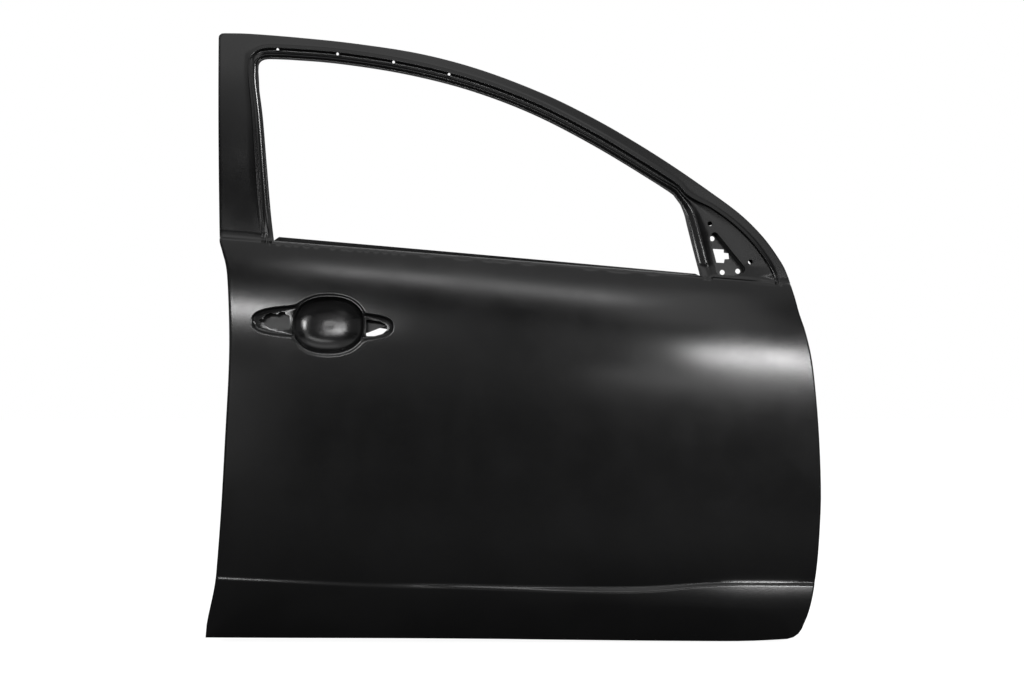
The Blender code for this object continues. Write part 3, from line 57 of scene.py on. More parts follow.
# The door's own coordinates: x forward from the lower rear corner, y inboard, z up from the lower edge
door = dict(
    length=1.0875, waist=.7, frameHeight=.384, beltOver=.0085, beltFall=.0878, beltRise=.003,
    gauge=.0008, gap=.0003, place=(-1.04675, -.083, -.47), overrun=.05, holeReach=.25)

# How finely the pressings are drawn: steps, sides of round holes, and the limits of small sums
fine = dict(
    pillar=26, corner=12, header=60, sail=28, perSpan=4, sectionBlur=.0011, search=2400, sweeps=60,
    halvings=30, frontBend=12, headerKeys=12, roofEnd=16, holeSteps=8, panSteps=5, slotSteps=4,
    trimSides=20, clipSides=28, holeSides=24, grommetSides=36, speakerSides=96, sharpAngle=50,
    mitre=.5, crossed=.05, shortest=1e-6, coincident=1e-7, nearEnough=.997, far=9.0)


# Small sums

def mix(a, b, share):
    return a + (b - a) * share


def mixPoints(a, b, share):
    return tuple(mix(p, q, share) for p, q in zip(a, b))


def smoothStep(share):
    share = min(1.0, max(0.0, share))
    return share * share * (3 - 2 * share)


def ease(shares):
    shares = np.clip(shares, 0, 1)
    return shares * shares * (3 - 2 * shares)


def evenShares(count):
    return [n / count for n in range(count + 1)]


def curveThrough(points, perSpan=8):
    line = []
    last = len(points) - 1
    for n in range(last):
        before, a, b, after = points[max(0, n - 1)], points[n], points[n + 1], points[min(last, n + 2)]
        for step in range(perSpan):
            t = step / perSpan
            weights = (-.5 * t + t * t - .5 * t ** 3, 1 - 2.5 * t * t + 1.5 * t ** 3,
                       .5 * t + 2 * t * t - 1.5 * t ** 3, -.5 * t * t + .5 * t ** 3)
            line.append(tuple(sum(w * p[axis] for w, p in zip(weights, (before, a, b, after)))
                              for axis in range(len(a))))
    line.append(tuple(points[last]))
    return line


def reaches(line):
    steps = [math.dist(a, b) for a, b in zip(line, line[1:])]
    return np.concatenate(([0.0], np.cumsum(steps)))


def along(line, shares):
    reach = reaches(line)
    goals = np.array(shares) * reach[-1]
    columns = [np.interp(goals, reach, [p[axis] for p in line]) for axis in range(len(line[0]))]
    return [tuple(float(c[n]) for c in columns) for n in range(len(goals))]


def nearestShare(line, place):
    shares = evenShares(fine["search"])
    found = np.array(along(line, shares))
    return shares[int(np.argmin(np.hypot(found[:, 0] - place[0], found[:, 1] - place[1])))]


def atHeight(line, height):
    for a, b in zip(line, line[1:]):
        low, high = min(a[1], b[1]), max(a[1], b[1])
        if low <= height <= high and high > low:
            return mixPoints(a, b, (height - a[1]) / (b[1] - a[1]))
    return min((line[0], line[-1]), key=lambda p: abs(p[1] - height))


def roundedCorner(a, pull, b, steps):
    inside = []
    for n in range(1, steps + 1):
        t = n / (steps + 1)
        inside.append(mixPoints(mixPoints(a, pull, t), mixPoints(pull, b, t), t))
    return inside


def inset(loop, distance):
    # The closed loop moved inwards; where its points would cross they are drawn together
    moved = []
    for n, point in enumerate(loop):
        before, after = Vector(loop[n - 1]), Vector(loop[(n + 1) % len(loop)])
        point = Vector(point)
        sideIn, sideOut = (point - before).normalized(), (after - point).normalized()
        normalIn, normalOut = Vector((-sideIn.y, sideIn.x)), Vector((-sideOut.y, sideOut.x))
        bisector = (normalIn + normalOut).normalized()
        moved.append(point + bisector * distance / max(fine["mitre"], bisector.dot(normalIn)))
    for sweep in range(fine["sweeps"]):
        crossed = False
        for n in range(len(moved)):
            side = Vector(loop[n]) - Vector(loop[n - 1])
            movedSide = moved[n] - moved[n - 1]
            turned = movedSide.dot(side) < fine["crossed"] * side.length_squared
            if turned and movedSide.length > fine["shortest"]:
                moved[n] = moved[n - 1] = (moved[n] + moved[n - 1]) / 2
                crossed = True
        if not crossed:
            break
    return [tuple(point) for point in moved]


def distanceTo(outline, xs, zs):
    # Distance of many places from a closed outline, less than zero inside it
    best = np.full(xs.shape, fine["far"])
    inside = np.zeros(xs.shape, bool)
    for (ax, az), (bx, bz) in zip(outline, outline[1:] + outline[:1]):
        t = ((xs - ax) * (bx - ax) + (zs - az) * (bz - az)) / max(1e-12, (bx - ax) ** 2 + (bz - az) ** 2)
        t = np.clip(t, 0, 1)
        best = np.minimum(best, np.hypot(xs - ax - t * (bx - ax), zs - az - t * (bz - az)))
        crosses = (az > zs) != (bz > zs)
        inside ^= crosses & (xs < ax + (zs - az) * (bx - ax) / (bz - az + (bz == az)))
    return np.where(inside, -best, best)


def insetFar(loop, distance):
    # As inset, for distances wider than the points' spacing: points that end up too close to the outline
    # are spread between their good neighbours
    moved = []
    for n, point in enumerate(loop):
        before, after = Vector(loop[n - 1]), Vector(loop[(n + 1) % len(loop)])
        if (after - before).length < fine["coincident"]:
            after = Vector(loop[(n + 2) % len(loop)])
        sides = [Vector(point) - before, after - Vector(point)]
        sides = [side for side in sides if side.length > fine["coincident"]]
        normals = [Vector((-side.y, side.x)).normalized() for side in sides]
        bisector = sum(normals, Vector((0, 0))).normalized()
        cosine = max(fine["mitre"], bisector.dot(normals[0]))
        moved.append(tuple(Vector(point) + bisector * distance / cosine))
    places = np.array(moved)
    reached = -distanceTo([tuple(p) for p in loop], places[:, 0], places[:, 1])
    good = reached > fine["nearEnough"] * distance
    kept = [n for n in range(len(moved)) if good[n]]
    for a, b in zip(kept, kept[1:] + [kept[0] + len(moved)]):
        for n in range(a + 1, b):
            moved[n % len(moved)] = mixPoints(moved[a], moved[b % len(moved)], (n - a) / (b - a))
    return moved


# Outer surface of the door

surface = dict(
    beltDepth=.047, curl=.33, curlPower=3.4, sillDepth=.04, setback=.004, tumble=.2,
    tumbleRadius=1.39, crest=.43, rearPlan=7.0, frontPlan=5.0, sillPower=4, creaseFrom=.14,
    slopeFrom=.3, slopeBulge=.3)
# Sill crease, forwards: place, height of its upper edge, height and reach of the sharp ledge,
# then height and reach of the slope below it
creaseLine = ((.0, .1125, .007, .0021, .02, .0), (.15, .1065, .008, .0021, .02, .0),
              (.3, .1015, .011, .0019, .02, .0002), (.433, .1, .011, .0042, .024, .0008),
              (.556, .097, .012, .005, .026, .0014), (.697, .0945, .013, .0064, .032, .0045),
              (.783, .095, .012, .0055, .04, .008), (.87, .1, .01, .0034, .05, .0125),
              (.96, .103, .01, .0026, .06, .017), (1.09, .1, .01, .0026, .06, .017))


def beltLine(x):
    return door["waist"] + door["beltOver"] - door["beltFall"] * x / door["length"]


def planDepth(x):
    radius = surface["rearPlan"] if x < surface["crest"] else surface["frontPlan"]
    return (x - surface["crest"]) ** 2 / (2 * radius)


creaseColumns = list(zip(*curveThrough(creaseLine)))


def creaseReach(x, z):
    top, height, step, slopeHeight, slopeReach = (float(np.interp(x, creaseColumns[0], column))
                                                  for column in creaseColumns[1:])
    below = min(1.0, max(0.0, (top - surface["slopeFrom"] * height - z) / slopeHeight))
    bulge = surface["slopeBulge"]
    return step * smoothStep((top - z) / height) + slopeReach * below * (1 + bulge - bulge * below ** 2)


def skinDepth(x, z):
    below = beltLine(x) - z
    if below < 0:
        lean = surface["beltDepth"] + surface["setback"] - surface["tumble"] * below
        return lean + below ** 2 / (2 * surface["tumbleRadius"]) + planDepth(x)
    turnIn = max(0.0, 1 - below / surface["curl"]) ** surface["curlPower"]
    depth = surface["beltDepth"] * turnIn + planDepth(x)
    if z < surface["creaseFrom"]:
        depth -= creaseReach(x, z)
    if below > surface["curl"]:
        sillShare = (below - surface["curl"]) / (beltLine(x) - surface["curl"])
        depth += surface["sillDepth"] * sillShare ** surface["sillPower"]
    return depth


def surfacePoint(place, beyond=0.0):
    return place[0], skinDepth(place[0], place[1]) + beyond, place[1]


# Outlines: shares of the door's length, and of the waist height or of the frame height over the waist
outlines = dict(
    rear=((.0, .0), (.0035, .041), (.0083, .072), (.0174, .134), (.022, .195), (.029, .33), (.0356, .511),
          (.0412, .676), (.0415, .79), (.0365, .918), (.0275, .975), (.0225, 1.0), (.0218, 1.03)),
    bottom=((.0, .0), (.37, .0), (.577, -.0034), (.741, -.0069), (.87, -.0089), (.9412, -.0049)),
    cornerPull=(.9665, -.006), climb=(.136, .1),
    front=((.973, .0371), (.9805, .0686), (.9894, .13), (.9953, .207), (.9992, .31), (1.0, .373),
           (.9983, .464), (.9945, .565), (.9868, .691), (.977, .767), (.967, .818), (.9607, .8583),
           (.955, .89), (.9525, .91)),
    roof=((.018, .999), (.0623, .9956), (.148, .975), (.241, .9455), (.347, .8966), (.447, .8187),
          (.5516, .7026), (.6325, .5875), (.7015, .473), (.7639, .359), (.8205, .2466)),
    sail=((.8205, .2466), (.8733, .134), (.9122, .0216), (.9396, -.0904), (.949, -.146)),
    openingRear=((.1099, .0075), (.1042, .13), (.0957, .357), (.0868, .586), (.08, .71), (.0771, .77),
                 (.0766, .835)),
    openingTop=((.095, .8735), (.1316, .8695), (.2118, .8498), (.3187, .801), (.4254, .7234), (.5316, .6078),
                (.6372, .45), (.7423, .2659), (.764, .223)),
    openingFront=((.7735, .1906), (.7812, .1342), (.7858, .0776), (.7952, -.0349), (.806, -.156)),
    pillarTop=((.0087, .974), (.0083, 1.0)),
    mirror=((.8224, .0352), (.8331, -.1536), (.8717, -.1536), (.8828, -.125), (.8322, .0547)),
    clips=((.8233, .0885), (.8893, -.0901)))


def placeLow(name):
    return [(door["length"] * x, door["waist"] * z) for x, z in outlines[name]]


def placeFrame(name):
    return [(door["length"] * x, door["waist"] + door["frameHeight"] * z) for x, z in outlines[name]]


# Rows of the lower panel, closest together at the crease and at the handle
rowShares = [0.0, .0021, .012, .034, .056, .078, .096, .108, .116]
rowShares += [.116 + .0016 * n for n in range(1, 28)]
rowShares += [.172, .185, .2, .218, .238, .262, .29, .322, .356, .392, .43, .468, .504, .538, .57, .6, .626]
rowShares += [.626 + .0047 * n for n in range(1, 54)]
rowShares += [.888, .902, .916, .93, .944, .957, .969, .98, .989, .996, 1.0]


def outlineSides(heights):
    rear = curveThrough(placeLow("rear"))
    bottom = curveThrough(placeLow("bottom"))
    frontRise = curveThrough(placeLow("front"))
    pull = (door["length"] * outlines["cornerPull"][0], door["waist"] * outlines["cornerPull"][1])
    bend = [bottom[-1]] + roundedCorner(bottom[-1], pull, frontRise[0], fine["frontBend"]) + [frontRise[0]]
    rearTop, frontTop = beltLine(rear[-1][0]), beltLine(frontRise[-1][0])
    rearColumn = [atHeight(rear, rearTop * share) for share in heights]
    # The lowest rows climb round the front corner, the others follow the height
    climb, bendShare = outlines["climb"]
    frontLine = bend + frontRise[1:]
    reach = reaches(frontLine)
    bendReach = reach[len(bend) - 1]
    joint = reaches(bend + [atHeight(frontRise, frontTop * climb)])[-1]
    frontColumn = []
    for share in heights:
        if share < climb:
            goal = float(np.interp(share, (0, bendShare, climb), (0, bendReach, joint)))
            frontColumn.append(along(frontLine, [goal / reach[-1]])[0])
        else:
            frontColumn.append(atHeight(frontRise, frontTop * share))

    pillarFoot = atHeight(rear, rearTop + door["beltRise"])
    sailFoot = atHeight(frontRise, frontTop + door["beltRise"])
    pillarTop, corner = placeFrame("pillarTop")
    roof = curveThrough(placeFrame("roof"))
    sail = curveThrough([*placeFrame("sail"), sailFoot])
    openingRear, openingTop, openingFront = (curveThrough(placeFrame("opening" + side))
                                             for side in ("Rear", "Top", "Front"))
    headerInner = along(openingTop, evenShares(fine["header"]))
    # The header's sections run square across it, and fan out round the rear corner
    keys = [(nearestShare(roof, place),) for place in along(openingTop, evenShares(fine["headerKeys"]))]
    headerShares = [point[0] for point in curveThrough(keys, fine["header"] // fine["headerKeys"])]
    bendCount = fine["corner"] // 4
    fan = fine["corner"] - bendCount
    fanShares = [headerShares[0] * n / fan for n in range(fan)]
    frontShares = [mix(headerShares[-1], 1, share) for share in evenShares(fine["roofEnd"])]
    outer = along([pillarFoot, pillarTop], evenShares(fine["pillar"]))
    outer += roundedCorner(pillarTop, corner, roof[0], bendCount)
    outer += along(roof, fanShares + headerShares)
    outer += along(along(roof, frontShares) + sail[1:], evenShares(fine["sail"]))[1:]

    corner = (openingRear[-1][0], openingTop[0][1])
    inner = along(openingRear, evenShares(fine["pillar"]))
    inner += roundedCorner(openingRear[-1], corner, openingTop[0], fine["corner"])
    inner += headerInner
    inner += along(openingFront, evenShares(fine["sail"]))[1:]
    return rearColumn, bottom, frontColumn, outer, inner


# Sections across the window frame: distance from the outer edge, below zero from the opening, and depth
frameSections = dict(
    pillar=((.024, 0), (-.02325, 0), (-.02, -.0015), (-.0172, .0004), (-.0144, -.0009), (-.0116, .0023),
            (-.008, .0036), (-.005, .012)),
    header=((.00675, 0), (-.0268, 0), (-.0204, -.0031), (-.0192, -.0025), (-.017, .0065), (-.01, .0065),
            (-.0075, .0046), (-.004, .012)),
    sail=((.00975, 0), (.0185, 0), (.024, -.0027), (.026, -.0012), (.0276, .0065), (-.024, .0065),
          (-.0192, .0039), (-.005, .012)),
    # Coarse stations at which the pillar, its corner, the header and the sail begin and end
    pinchDepth=.012, stations=(0, 6, 11, 25, 32), headerLead=.5, sailLead=1, sailBlend=3,
    edgeRoll=.0009, firstStop=.0015, firstStopShare=.4,
    blurOffsets=(-1.4, -.7, 0, .7, 1.4), blurWeights=(.12, .22, .32, .22, .12))


def frameWeights(stations):
    # For each station its coarse place, and how far its section is the header's and the sail's
    coarseEnds = frameSections["stations"]
    firstHeader = fine["pillar"] + 1 + fine["corner"]
    ends = (0, fine["pillar"], firstHeader, firstHeader + fine["header"], stations - 1)
    weights = []
    for k in range(stations):
        coarse = float(np.interp(k, ends, coarseEnds))
        pastPillar = coarse - coarseEnds[1] + frameSections["headerLead"]
        pastHeader = coarse - coarseEnds[3] + frameSections["sailLead"]
        toHeader = smoothStep(pastPillar / (coarseEnds[2] - coarseEnds[1]))
        weights.append((coarse, toHeader, smoothStep(pastHeader / frameSections["sailBlend"])))
    return weights


def blurredDepth(distance, distances, depths, blur):
    offsets = np.array(frameSections["blurOffsets"]) * blur
    kernel = np.array(frameSections["blurWeights"])
    return float(np.sum(kernel * np.interp(distance + offsets, distances, depths)))


def skinFrameLines(outer, inner):
    rows = []
    weights = frameWeights(len(outer))
    for (a, b), (coarse, header, sail) in zip(zip(outer, inner), weights):
        width = math.dist(a, b)
        fade = min(1.0, coarse, frameSections["stations"][-1] - coarse)
        entries = [(0.0, 0.0)]
        for sections in zip(frameSections["pillar"], frameSections["header"], frameSections["sail"]):
            places = [(s[0] / width if s[0] > 0 else 1 + s[0] / width, s[1]) for s in sections]
            entries.append(mixPoints(mixPoints(places[0], places[1], header), places[2], sail))
        entries.append((1.0, frameSections["pinchDepth"]))
        distances = [share * width for share, depth in entries]
        depths = [depth for share, depth in entries]
        stops = [0.0, min(frameSections["firstStop"], frameSections["firstStopShare"] * distances[1])]
        for first, second in zip(distances, distances[1:]):
            stops += [mix(first, second, n / fine["perSpan"]) for n in range(1, fine["perSpan"] + 1)]
        stops.sort()
        row = []
        for n, stop in enumerate(stops):
            depth = blurredDepth(stop, distances, depths, fine["sectionBlur"]) * fade
            depth += frameSections["edgeRoll"] if n == 0 else 0.0
            row.append((*mixPoints(a, b, stop / width), depth))
        rows.append(row)
    return rows


def fillSheet(left, bottom, right, top, us, vs):
    # A grid of places inside four sides, a blend of the two pairs of opposite sides
    u, v = np.array(us)[None, :, None], np.array(vs)[:, None, None]
    left, right = np.array(left)[:, None, :], np.array(right)[:, None, :]
    bottom, top = np.array(bottom)[None], np.array(top)[None]
    corners = (left[:1] * (1 - u) + right[:1] * u) * (1 - v) + (left[-1:] * (1 - u) + right[-1:] * u) * v
    return left * (1 - u) + right * u + bottom * (1 - v) + top * v - corners


# Meshes as lists of points and faces

class Sheet:
    def __init__(self):
        self.points, self.faces = [], []

    def row(self, points):
        first = len(self.points)
        self.points += [tuple(float(value) for value in point) for point in points]
        return list(range(first, len(self.points)))

    def strip(self, first, second, closed=False):
        count = len(first) if closed else len(first) - 1
        for n in range(count):
            m = (n + 1) % len(first)
            self.faces.append((first[n], first[m], second[m], second[n]))

    def zip(self, outer, inner):
        # Triangles between two closed rings of unlike counts, always across the shorter diagonal
        n, m = 0, 0
        while n < len(outer) or m < len(inner):
            a, b = outer[n % len(outer)], inner[m % len(inner)]
            nextA, nextB = outer[(n + 1) % len(outer)], inner[(m + 1) % len(inner)]
            reachA = math.dist(self.points[nextA], self.points[b]) if n < len(outer) else fine["far"]
            reachB = math.dist(self.points[a], self.points[nextB]) if m < len(inner) else fine["far"]
            if reachA <= reachB:
                self.faces.append((a, nextA, b))
                n += 1
            else:
                self.faces.append((a, nextB, b))
                m += 1

    def mesh(self, name, weld=1e-5):
        work = bmesh.new()
        verts = [work.verts.new(point) for point in self.points]
        for face in self.faces:
            corners = list(dict.fromkeys(face))
            if len(corners) > 2:
                work.faces.new([verts[n] for n in corners])
        bmesh.ops.delete(work, geom=[v for v in work.verts if not v.link_faces], context="VERTS")
        bmesh.ops.remove_doubles(work, verts=work.verts, dist=weld)
        for face in work.faces:
            face.smooth = True
        data = bpy.data.meshes.new(name)
        work.to_mesh(data)
        work.free()
        return data


def outlineLoop(bottom, frontColumn, frameOuter, rearColumn):
    return bottom + frontColumn[1:] + frameOuter[::-1] + rearColumn[:0:-1]


def rowLoop(rows, frameRows):
    front, rear = [row[-1] for row in rows], [row[0] for row in rows]
    return outlineLoop(rows[0], front, [line[0] for line in frameRows], rear)


def addPiece(name, data, gauge, cutters, evenGauge=True):
    piece = bpy.data.objects.new(name, data)
    bpy.context.scene.collection.objects.link(piece)
    bpy.context.view_layer.objects.active = piece
    solid = piece.modifiers.new("gauge", "SOLIDIFY")
    solid.thickness, solid.offset = gauge, -1
    solid.use_even_offset, solid.use_quality_normals = evenGauge, True
    bpy.ops.object.modifier_apply(modifier="gauge")
    tool = joinCutters(name + "Cutters", cutters)
    hole = piece.modifiers.new("holes", "BOOLEAN")
    hole.operation, hole.solver, hole.object = "DIFFERENCE", "EXACT", tool
    bpy.ops.object.modifier_apply(modifier="holes")
    bpy.data.objects.remove(tool)
    piece.data.set_sharp_from_angle(angle=math.radians(fine["sharpAngle"]))
    piece.location = door["place"]
    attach(piece, "root")
    return piece


def prism(outline, low, high, axis):
    # A closed solid with an outline across an axis
    order = dict(X=(2, 0, 1), Y=(0, 2, 1))[axis]
    points, faces = [], []
    for level in (low, high):
        points += [tuple((p[0], p[1], level)[n] for n in order) for p in outline]
    count = len(outline)
    faces.append(tuple(range(count))[::-1])
    faces.append(tuple(range(count, 2 * count)))
    faces += [(n, (n + 1) % count, count + (n + 1) % count, count + n) for n in range(count)]
    return points, faces


def joinCutters(name, solids):
    work = bmesh.new()
    for points, faces in solids:
        verts = [work.verts.new(point) for point in points]
        for face in faces:
            work.faces.new([verts[n] for n in face])
    bmesh.ops.recalc_face_normals(work, faces=work.faces)
    data = bpy.data.meshes.new(name)
    work.to_mesh(data)
    work.free()
    tool = bpy.data.objects.new(name, data)
    bpy.context.scene.collection.objects.link(tool)
    return tool


def roundHole(place, radius, sides, low, high, axis="Y"):
    turns = [2 * math.pi * n / sides for n in range(sides)]
    circle = [(place[0] + radius * math.cos(turn), place[1] + radius * math.sin(turn)) for turn in turns]
    return prism(circle, low, high, axis)


def roundedOutline(corners, radius, steps=6):
    outline = []
    for n, corner in enumerate(corners):
        before, after = corners[n - 1], corners[(n + 1) % len(corners)]
        a = mixPoints(corner, before, min(.5, radius / math.dist(corner, before)))
        b = mixPoints(corner, after, min(.5, radius / math.dist(corner, after)))
        outline += [a, *roundedCorner(a, corner, b, steps), b]
    return outline


# Handle recess: a bowl with a lobe in front of it and one behind it

recess = dict(
    x=.22, z=.5523, length=.126, height=.1, depth=.024, rim=.003, lobeDepth=.0065,
    lobeRim=.006, rearLength=.0695, rearHeight=.052, rearRise=.0065, frontLength=.0485,
    frontHeight=.045, frontRise=-.0032, bowlPower=2.3, blendPower=14, lead=(.3, .58, .8),
    keyholeRound=.0012, hookRound=.0025, lobePower=3,
    # Shares of the lobe's depth where it is closed and open, of the wall's width, and counts of rims
    closedFloor=.25, crests=(.35, .5), wall=.4, wallEnds=(.5, .4), lips=(1.9, .6), margin=3.2,
    section=((.93, .3), (.78, .68), (.52, .92), (.22, 1.0), (.06, 1.0)),
    keyhole=((.078, .465), (.194, .675), (.204, .85), (.32, .85), (.393, .62), (.579, .77),
             (.71, .526), (.753, .2), (.8, .3), (.86, .07), (.8, -.16), (.753, -.08),
             (.71, -.333), (.564, -.658), (.378, -.63), (.363, -.85), (.247, -.85), (.232, -.737),
             (.078, -.737)),
    hook=((.06, .787), (.54, .606), (.75, .3), (.83, .06), (.82, -.31), (.665, -.734),
          (.373, -.98), (.06, -.98)))


def bowlReach(angle):
    across = abs(math.cos(angle)) * 2 / recess["length"]
    upward = abs(math.sin(angle)) * 2 / recess["height"]
    power = recess["bowlPower"]
    return (across ** power + upward ** power) ** (-1 / power)


def lobeReach(angle):
    across, upward = math.cos(angle), math.sin(angle)
    side = "front" if across > 0 else "rear"
    length = .5 * recess["length"] + recess[side + "Length"]
    half, rise = .5 * recess[side + "Height"], recess[side + "Rise"]
    near, far = 0.0, 2 * length
    for step in range(fine["halvings"]):
        reach = .5 * (near + far)
        ratios = abs(reach * across / length), abs((reach * upward - rise) / half)
        inside = ratios[0] ** recess["lobePower"] + ratios[1] ** recess["lobePower"] < 1
        near, far = (reach, far) if inside else (near, reach)
    rim, power = bowlReach(angle) + recess["rim"], recess["blendPower"]
    return (near ** power + rim ** power) ** (1 / power)


def roundLine(line, times):
    # Corners cut off again and again, ends kept
    for turn in range(times):
        cut = [line[0]]
        for a, b in zip(line, line[1:]):
            cut += [mixPoints(a, b, .25), mixPoints(a, b, .75)]
        line = cut + [line[-1]]
    return line


def recessRays(border):
    # For each border place of the block, a line from it down to the middle of the bowl
    rim, lobeDepth = recess["rim"], recess["lobeDepth"]
    angles = [math.atan2(z - recess["z"], x - recess["x"]) for x, z in border]
    outline = [Vector((math.cos(a), math.sin(a))) * lobeReach(a) for a in angles]
    rays = []
    for n, angle in enumerate(angles):
        turn = Vector((math.cos(angle), math.sin(angle)))
        bowl, lobe = bowlReach(angle), outline[n].length
        run = (outline[(n + 1) % len(outline)] - outline[n - 1]).normalized()
        outward = Vector((run.y, -run.x))
        openShare = smoothStep((lobe - bowl - rim) / (2 * rim))
        floor = mix(recess["closedFloor"] * lobeDepth, lobeDepth, openShare)
        crest = mix(*(share * lobeDepth for share in recess["crests"]), openShare)
        wall = min(recess["wall"] * (lobe - bowl), rim)
        outerEnd, innerEnd = recess["wallEnds"]
        edge = outline[n]
        stops = [(edge + outward * lip * rim, 0) for lip in recess["lips"]]
        stops += [(edge - outward * outerEnd * wall, floor), (turn * (bowl + innerEnd * wall), floor),
                  (turn * bowl, crest)]
        for reachShare, fallShare in recess["section"]:
            stops.append((turn * bowl * reachShare, mix(crest, recess["depth"], fallShare)))
        line = roundLine([(recess["x"] + p.x, recess["z"] + p.y, depth) for p, depth in stops], 2)
        lead = [(*mixPoints(border[n], line[0][:2], share), 0.0) for share in recess["lead"]]
        rays.append(lead + line)
    return rays


def recessBlock(places):
    # The block of cells that the recess takes out of the lower panel
    margin = recess["margin"] * recess["rim"]
    halfLength, halfHeight = .5 * recess["length"], .5 * recess["height"]
    west = recess["x"] - halfLength - recess["rearLength"] - margin
    east = recess["x"] + halfLength + recess["frontLength"] + margin
    south, north = recess["z"] - halfHeight - margin, recess["z"] + halfHeight + margin
    rearHalf = places[:, :places.shape[1] // 2]
    low = max(j for j in range(1, len(places) - 1) if rearHalf[j, :, 1].max() < south)
    high = min(j for j in range(1, len(places) - 1) if rearHalf[j, :, 1].min() > north)
    xs = places[low:high + 1, :, 0]
    left = max(i for i in range(1, places.shape[1] - 1) if xs[:, i].max() < west)
    right = min(i for i in range(1, places.shape[1] - 1) if xs[:, i].min() > east)
    return left, right, low, high


# Outer skin

skin = dict(
    hem=.008, flangeInset=.0016, flangeWidth=.013, flangeSeat=.002, edgeReach=.0008,
    shoulderReach=.0045, panelGauge=.0008, sillFine=.0032, sillCoarse=.0085, sillFineTo=.375,
    sillEnd=.002, trimHoles=(.0175, .155, .285, .415), trimRadius=.0024, trimInset=.0172,
    clipRadius=.0042, mirrorCorner=.008, trimRun=.01, hemGaps=4, lipGaps=7,
    # Belt edge, rolled in: rise and depth; turn of the hem: distance in and share of its thickness
    beltRolls=((.0012, .0003), (.0022, .0012), (.0029, .003), (.003, .006), (.003, .012)),
    hemTurn=((0, .35), (0, .6), (.0006, .84)), hemTop=.002, edgeRoll=.0009)


def sillPlaces(first, last):
    # Columns under the window, closest together behind and round the handle
    places = []
    x = first
    while x < last - skin["sillFine"]:
        x += skin["sillFine"] if x < skin["sillFineTo"] else skin["sillCoarse"]
        places.append(min(x, last - skin["sillEnd"]))
    return places


def depthFinder(sheet):
    tree = BVHTree.FromPolygons(sheet.points, sheet.faces)

    def depthAt(x, z):
        hit = tree.ray_cast(Vector((x, -1, z)), Vector((0, 1, 0)))[0]
        return hit.y if hit else skinDepth(x, z)
    return depthAt


def flangeDepth(skinAt, place, reach):
    # Clear of the deepest place of the skin around it
    steps = (-reach, 0.0, reach)
    around = [skinAt(place[0] + across, place[1] + upward) for across in steps for upward in steps]
    return max(around) + skin["flangeSeat"]


def trimPlace(share, inner):
    first = fine["pillar"] + 1 + fine["corner"]
    line = inner[first:first + fine["header"] + 1]
    place, before, after = along(line, [share, share - skin["trimRun"], share + skin["trimRun"]])
    run = (Vector(after) - Vector(before)).normalized()
    return tuple(Vector(place) + Vector((-run.y, run.x)) * skin["trimInset"])


def skinCutters(inner):
    solids = []
    shapes = (("rear", -1, "keyhole", "keyholeRound", 2), ("front", 1, "hook", "hookRound", 4))
    for side, way, name, corner, steps in shapes:
        start = recess["x"] + way * .5 * recess["length"]
        middle = recess["z"] + recess[side + "Rise"]
        tall = .5 * recess[side + "Height"] - recess["lobeRim"]
        outline = [(start + way * recess[side + "Length"] * x, middle + tall * z) for x, z in recess[name]]
        outline = roundedOutline(outline, recess[corner], steps)
        solids.append(prism(outline, -door["overrun"], door["overrun"], "Y"))
    span = (0, door["holeReach"])
    trims = [trimPlace(share, inner) for share in skin["trimHoles"]]
    solids.append(prism(roundedOutline(placeFrame("mirror"), skin["mirrorCorner"]), *span, "Y"))
    solids += [roundHole(place, skin["trimRadius"], fine["trimSides"], *span) for place in trims]
    clips = placeFrame("clips")
    solids += [roundHole(place, skin["clipRadius"], fine["clipSides"], *span) for place in clips]
    return solids


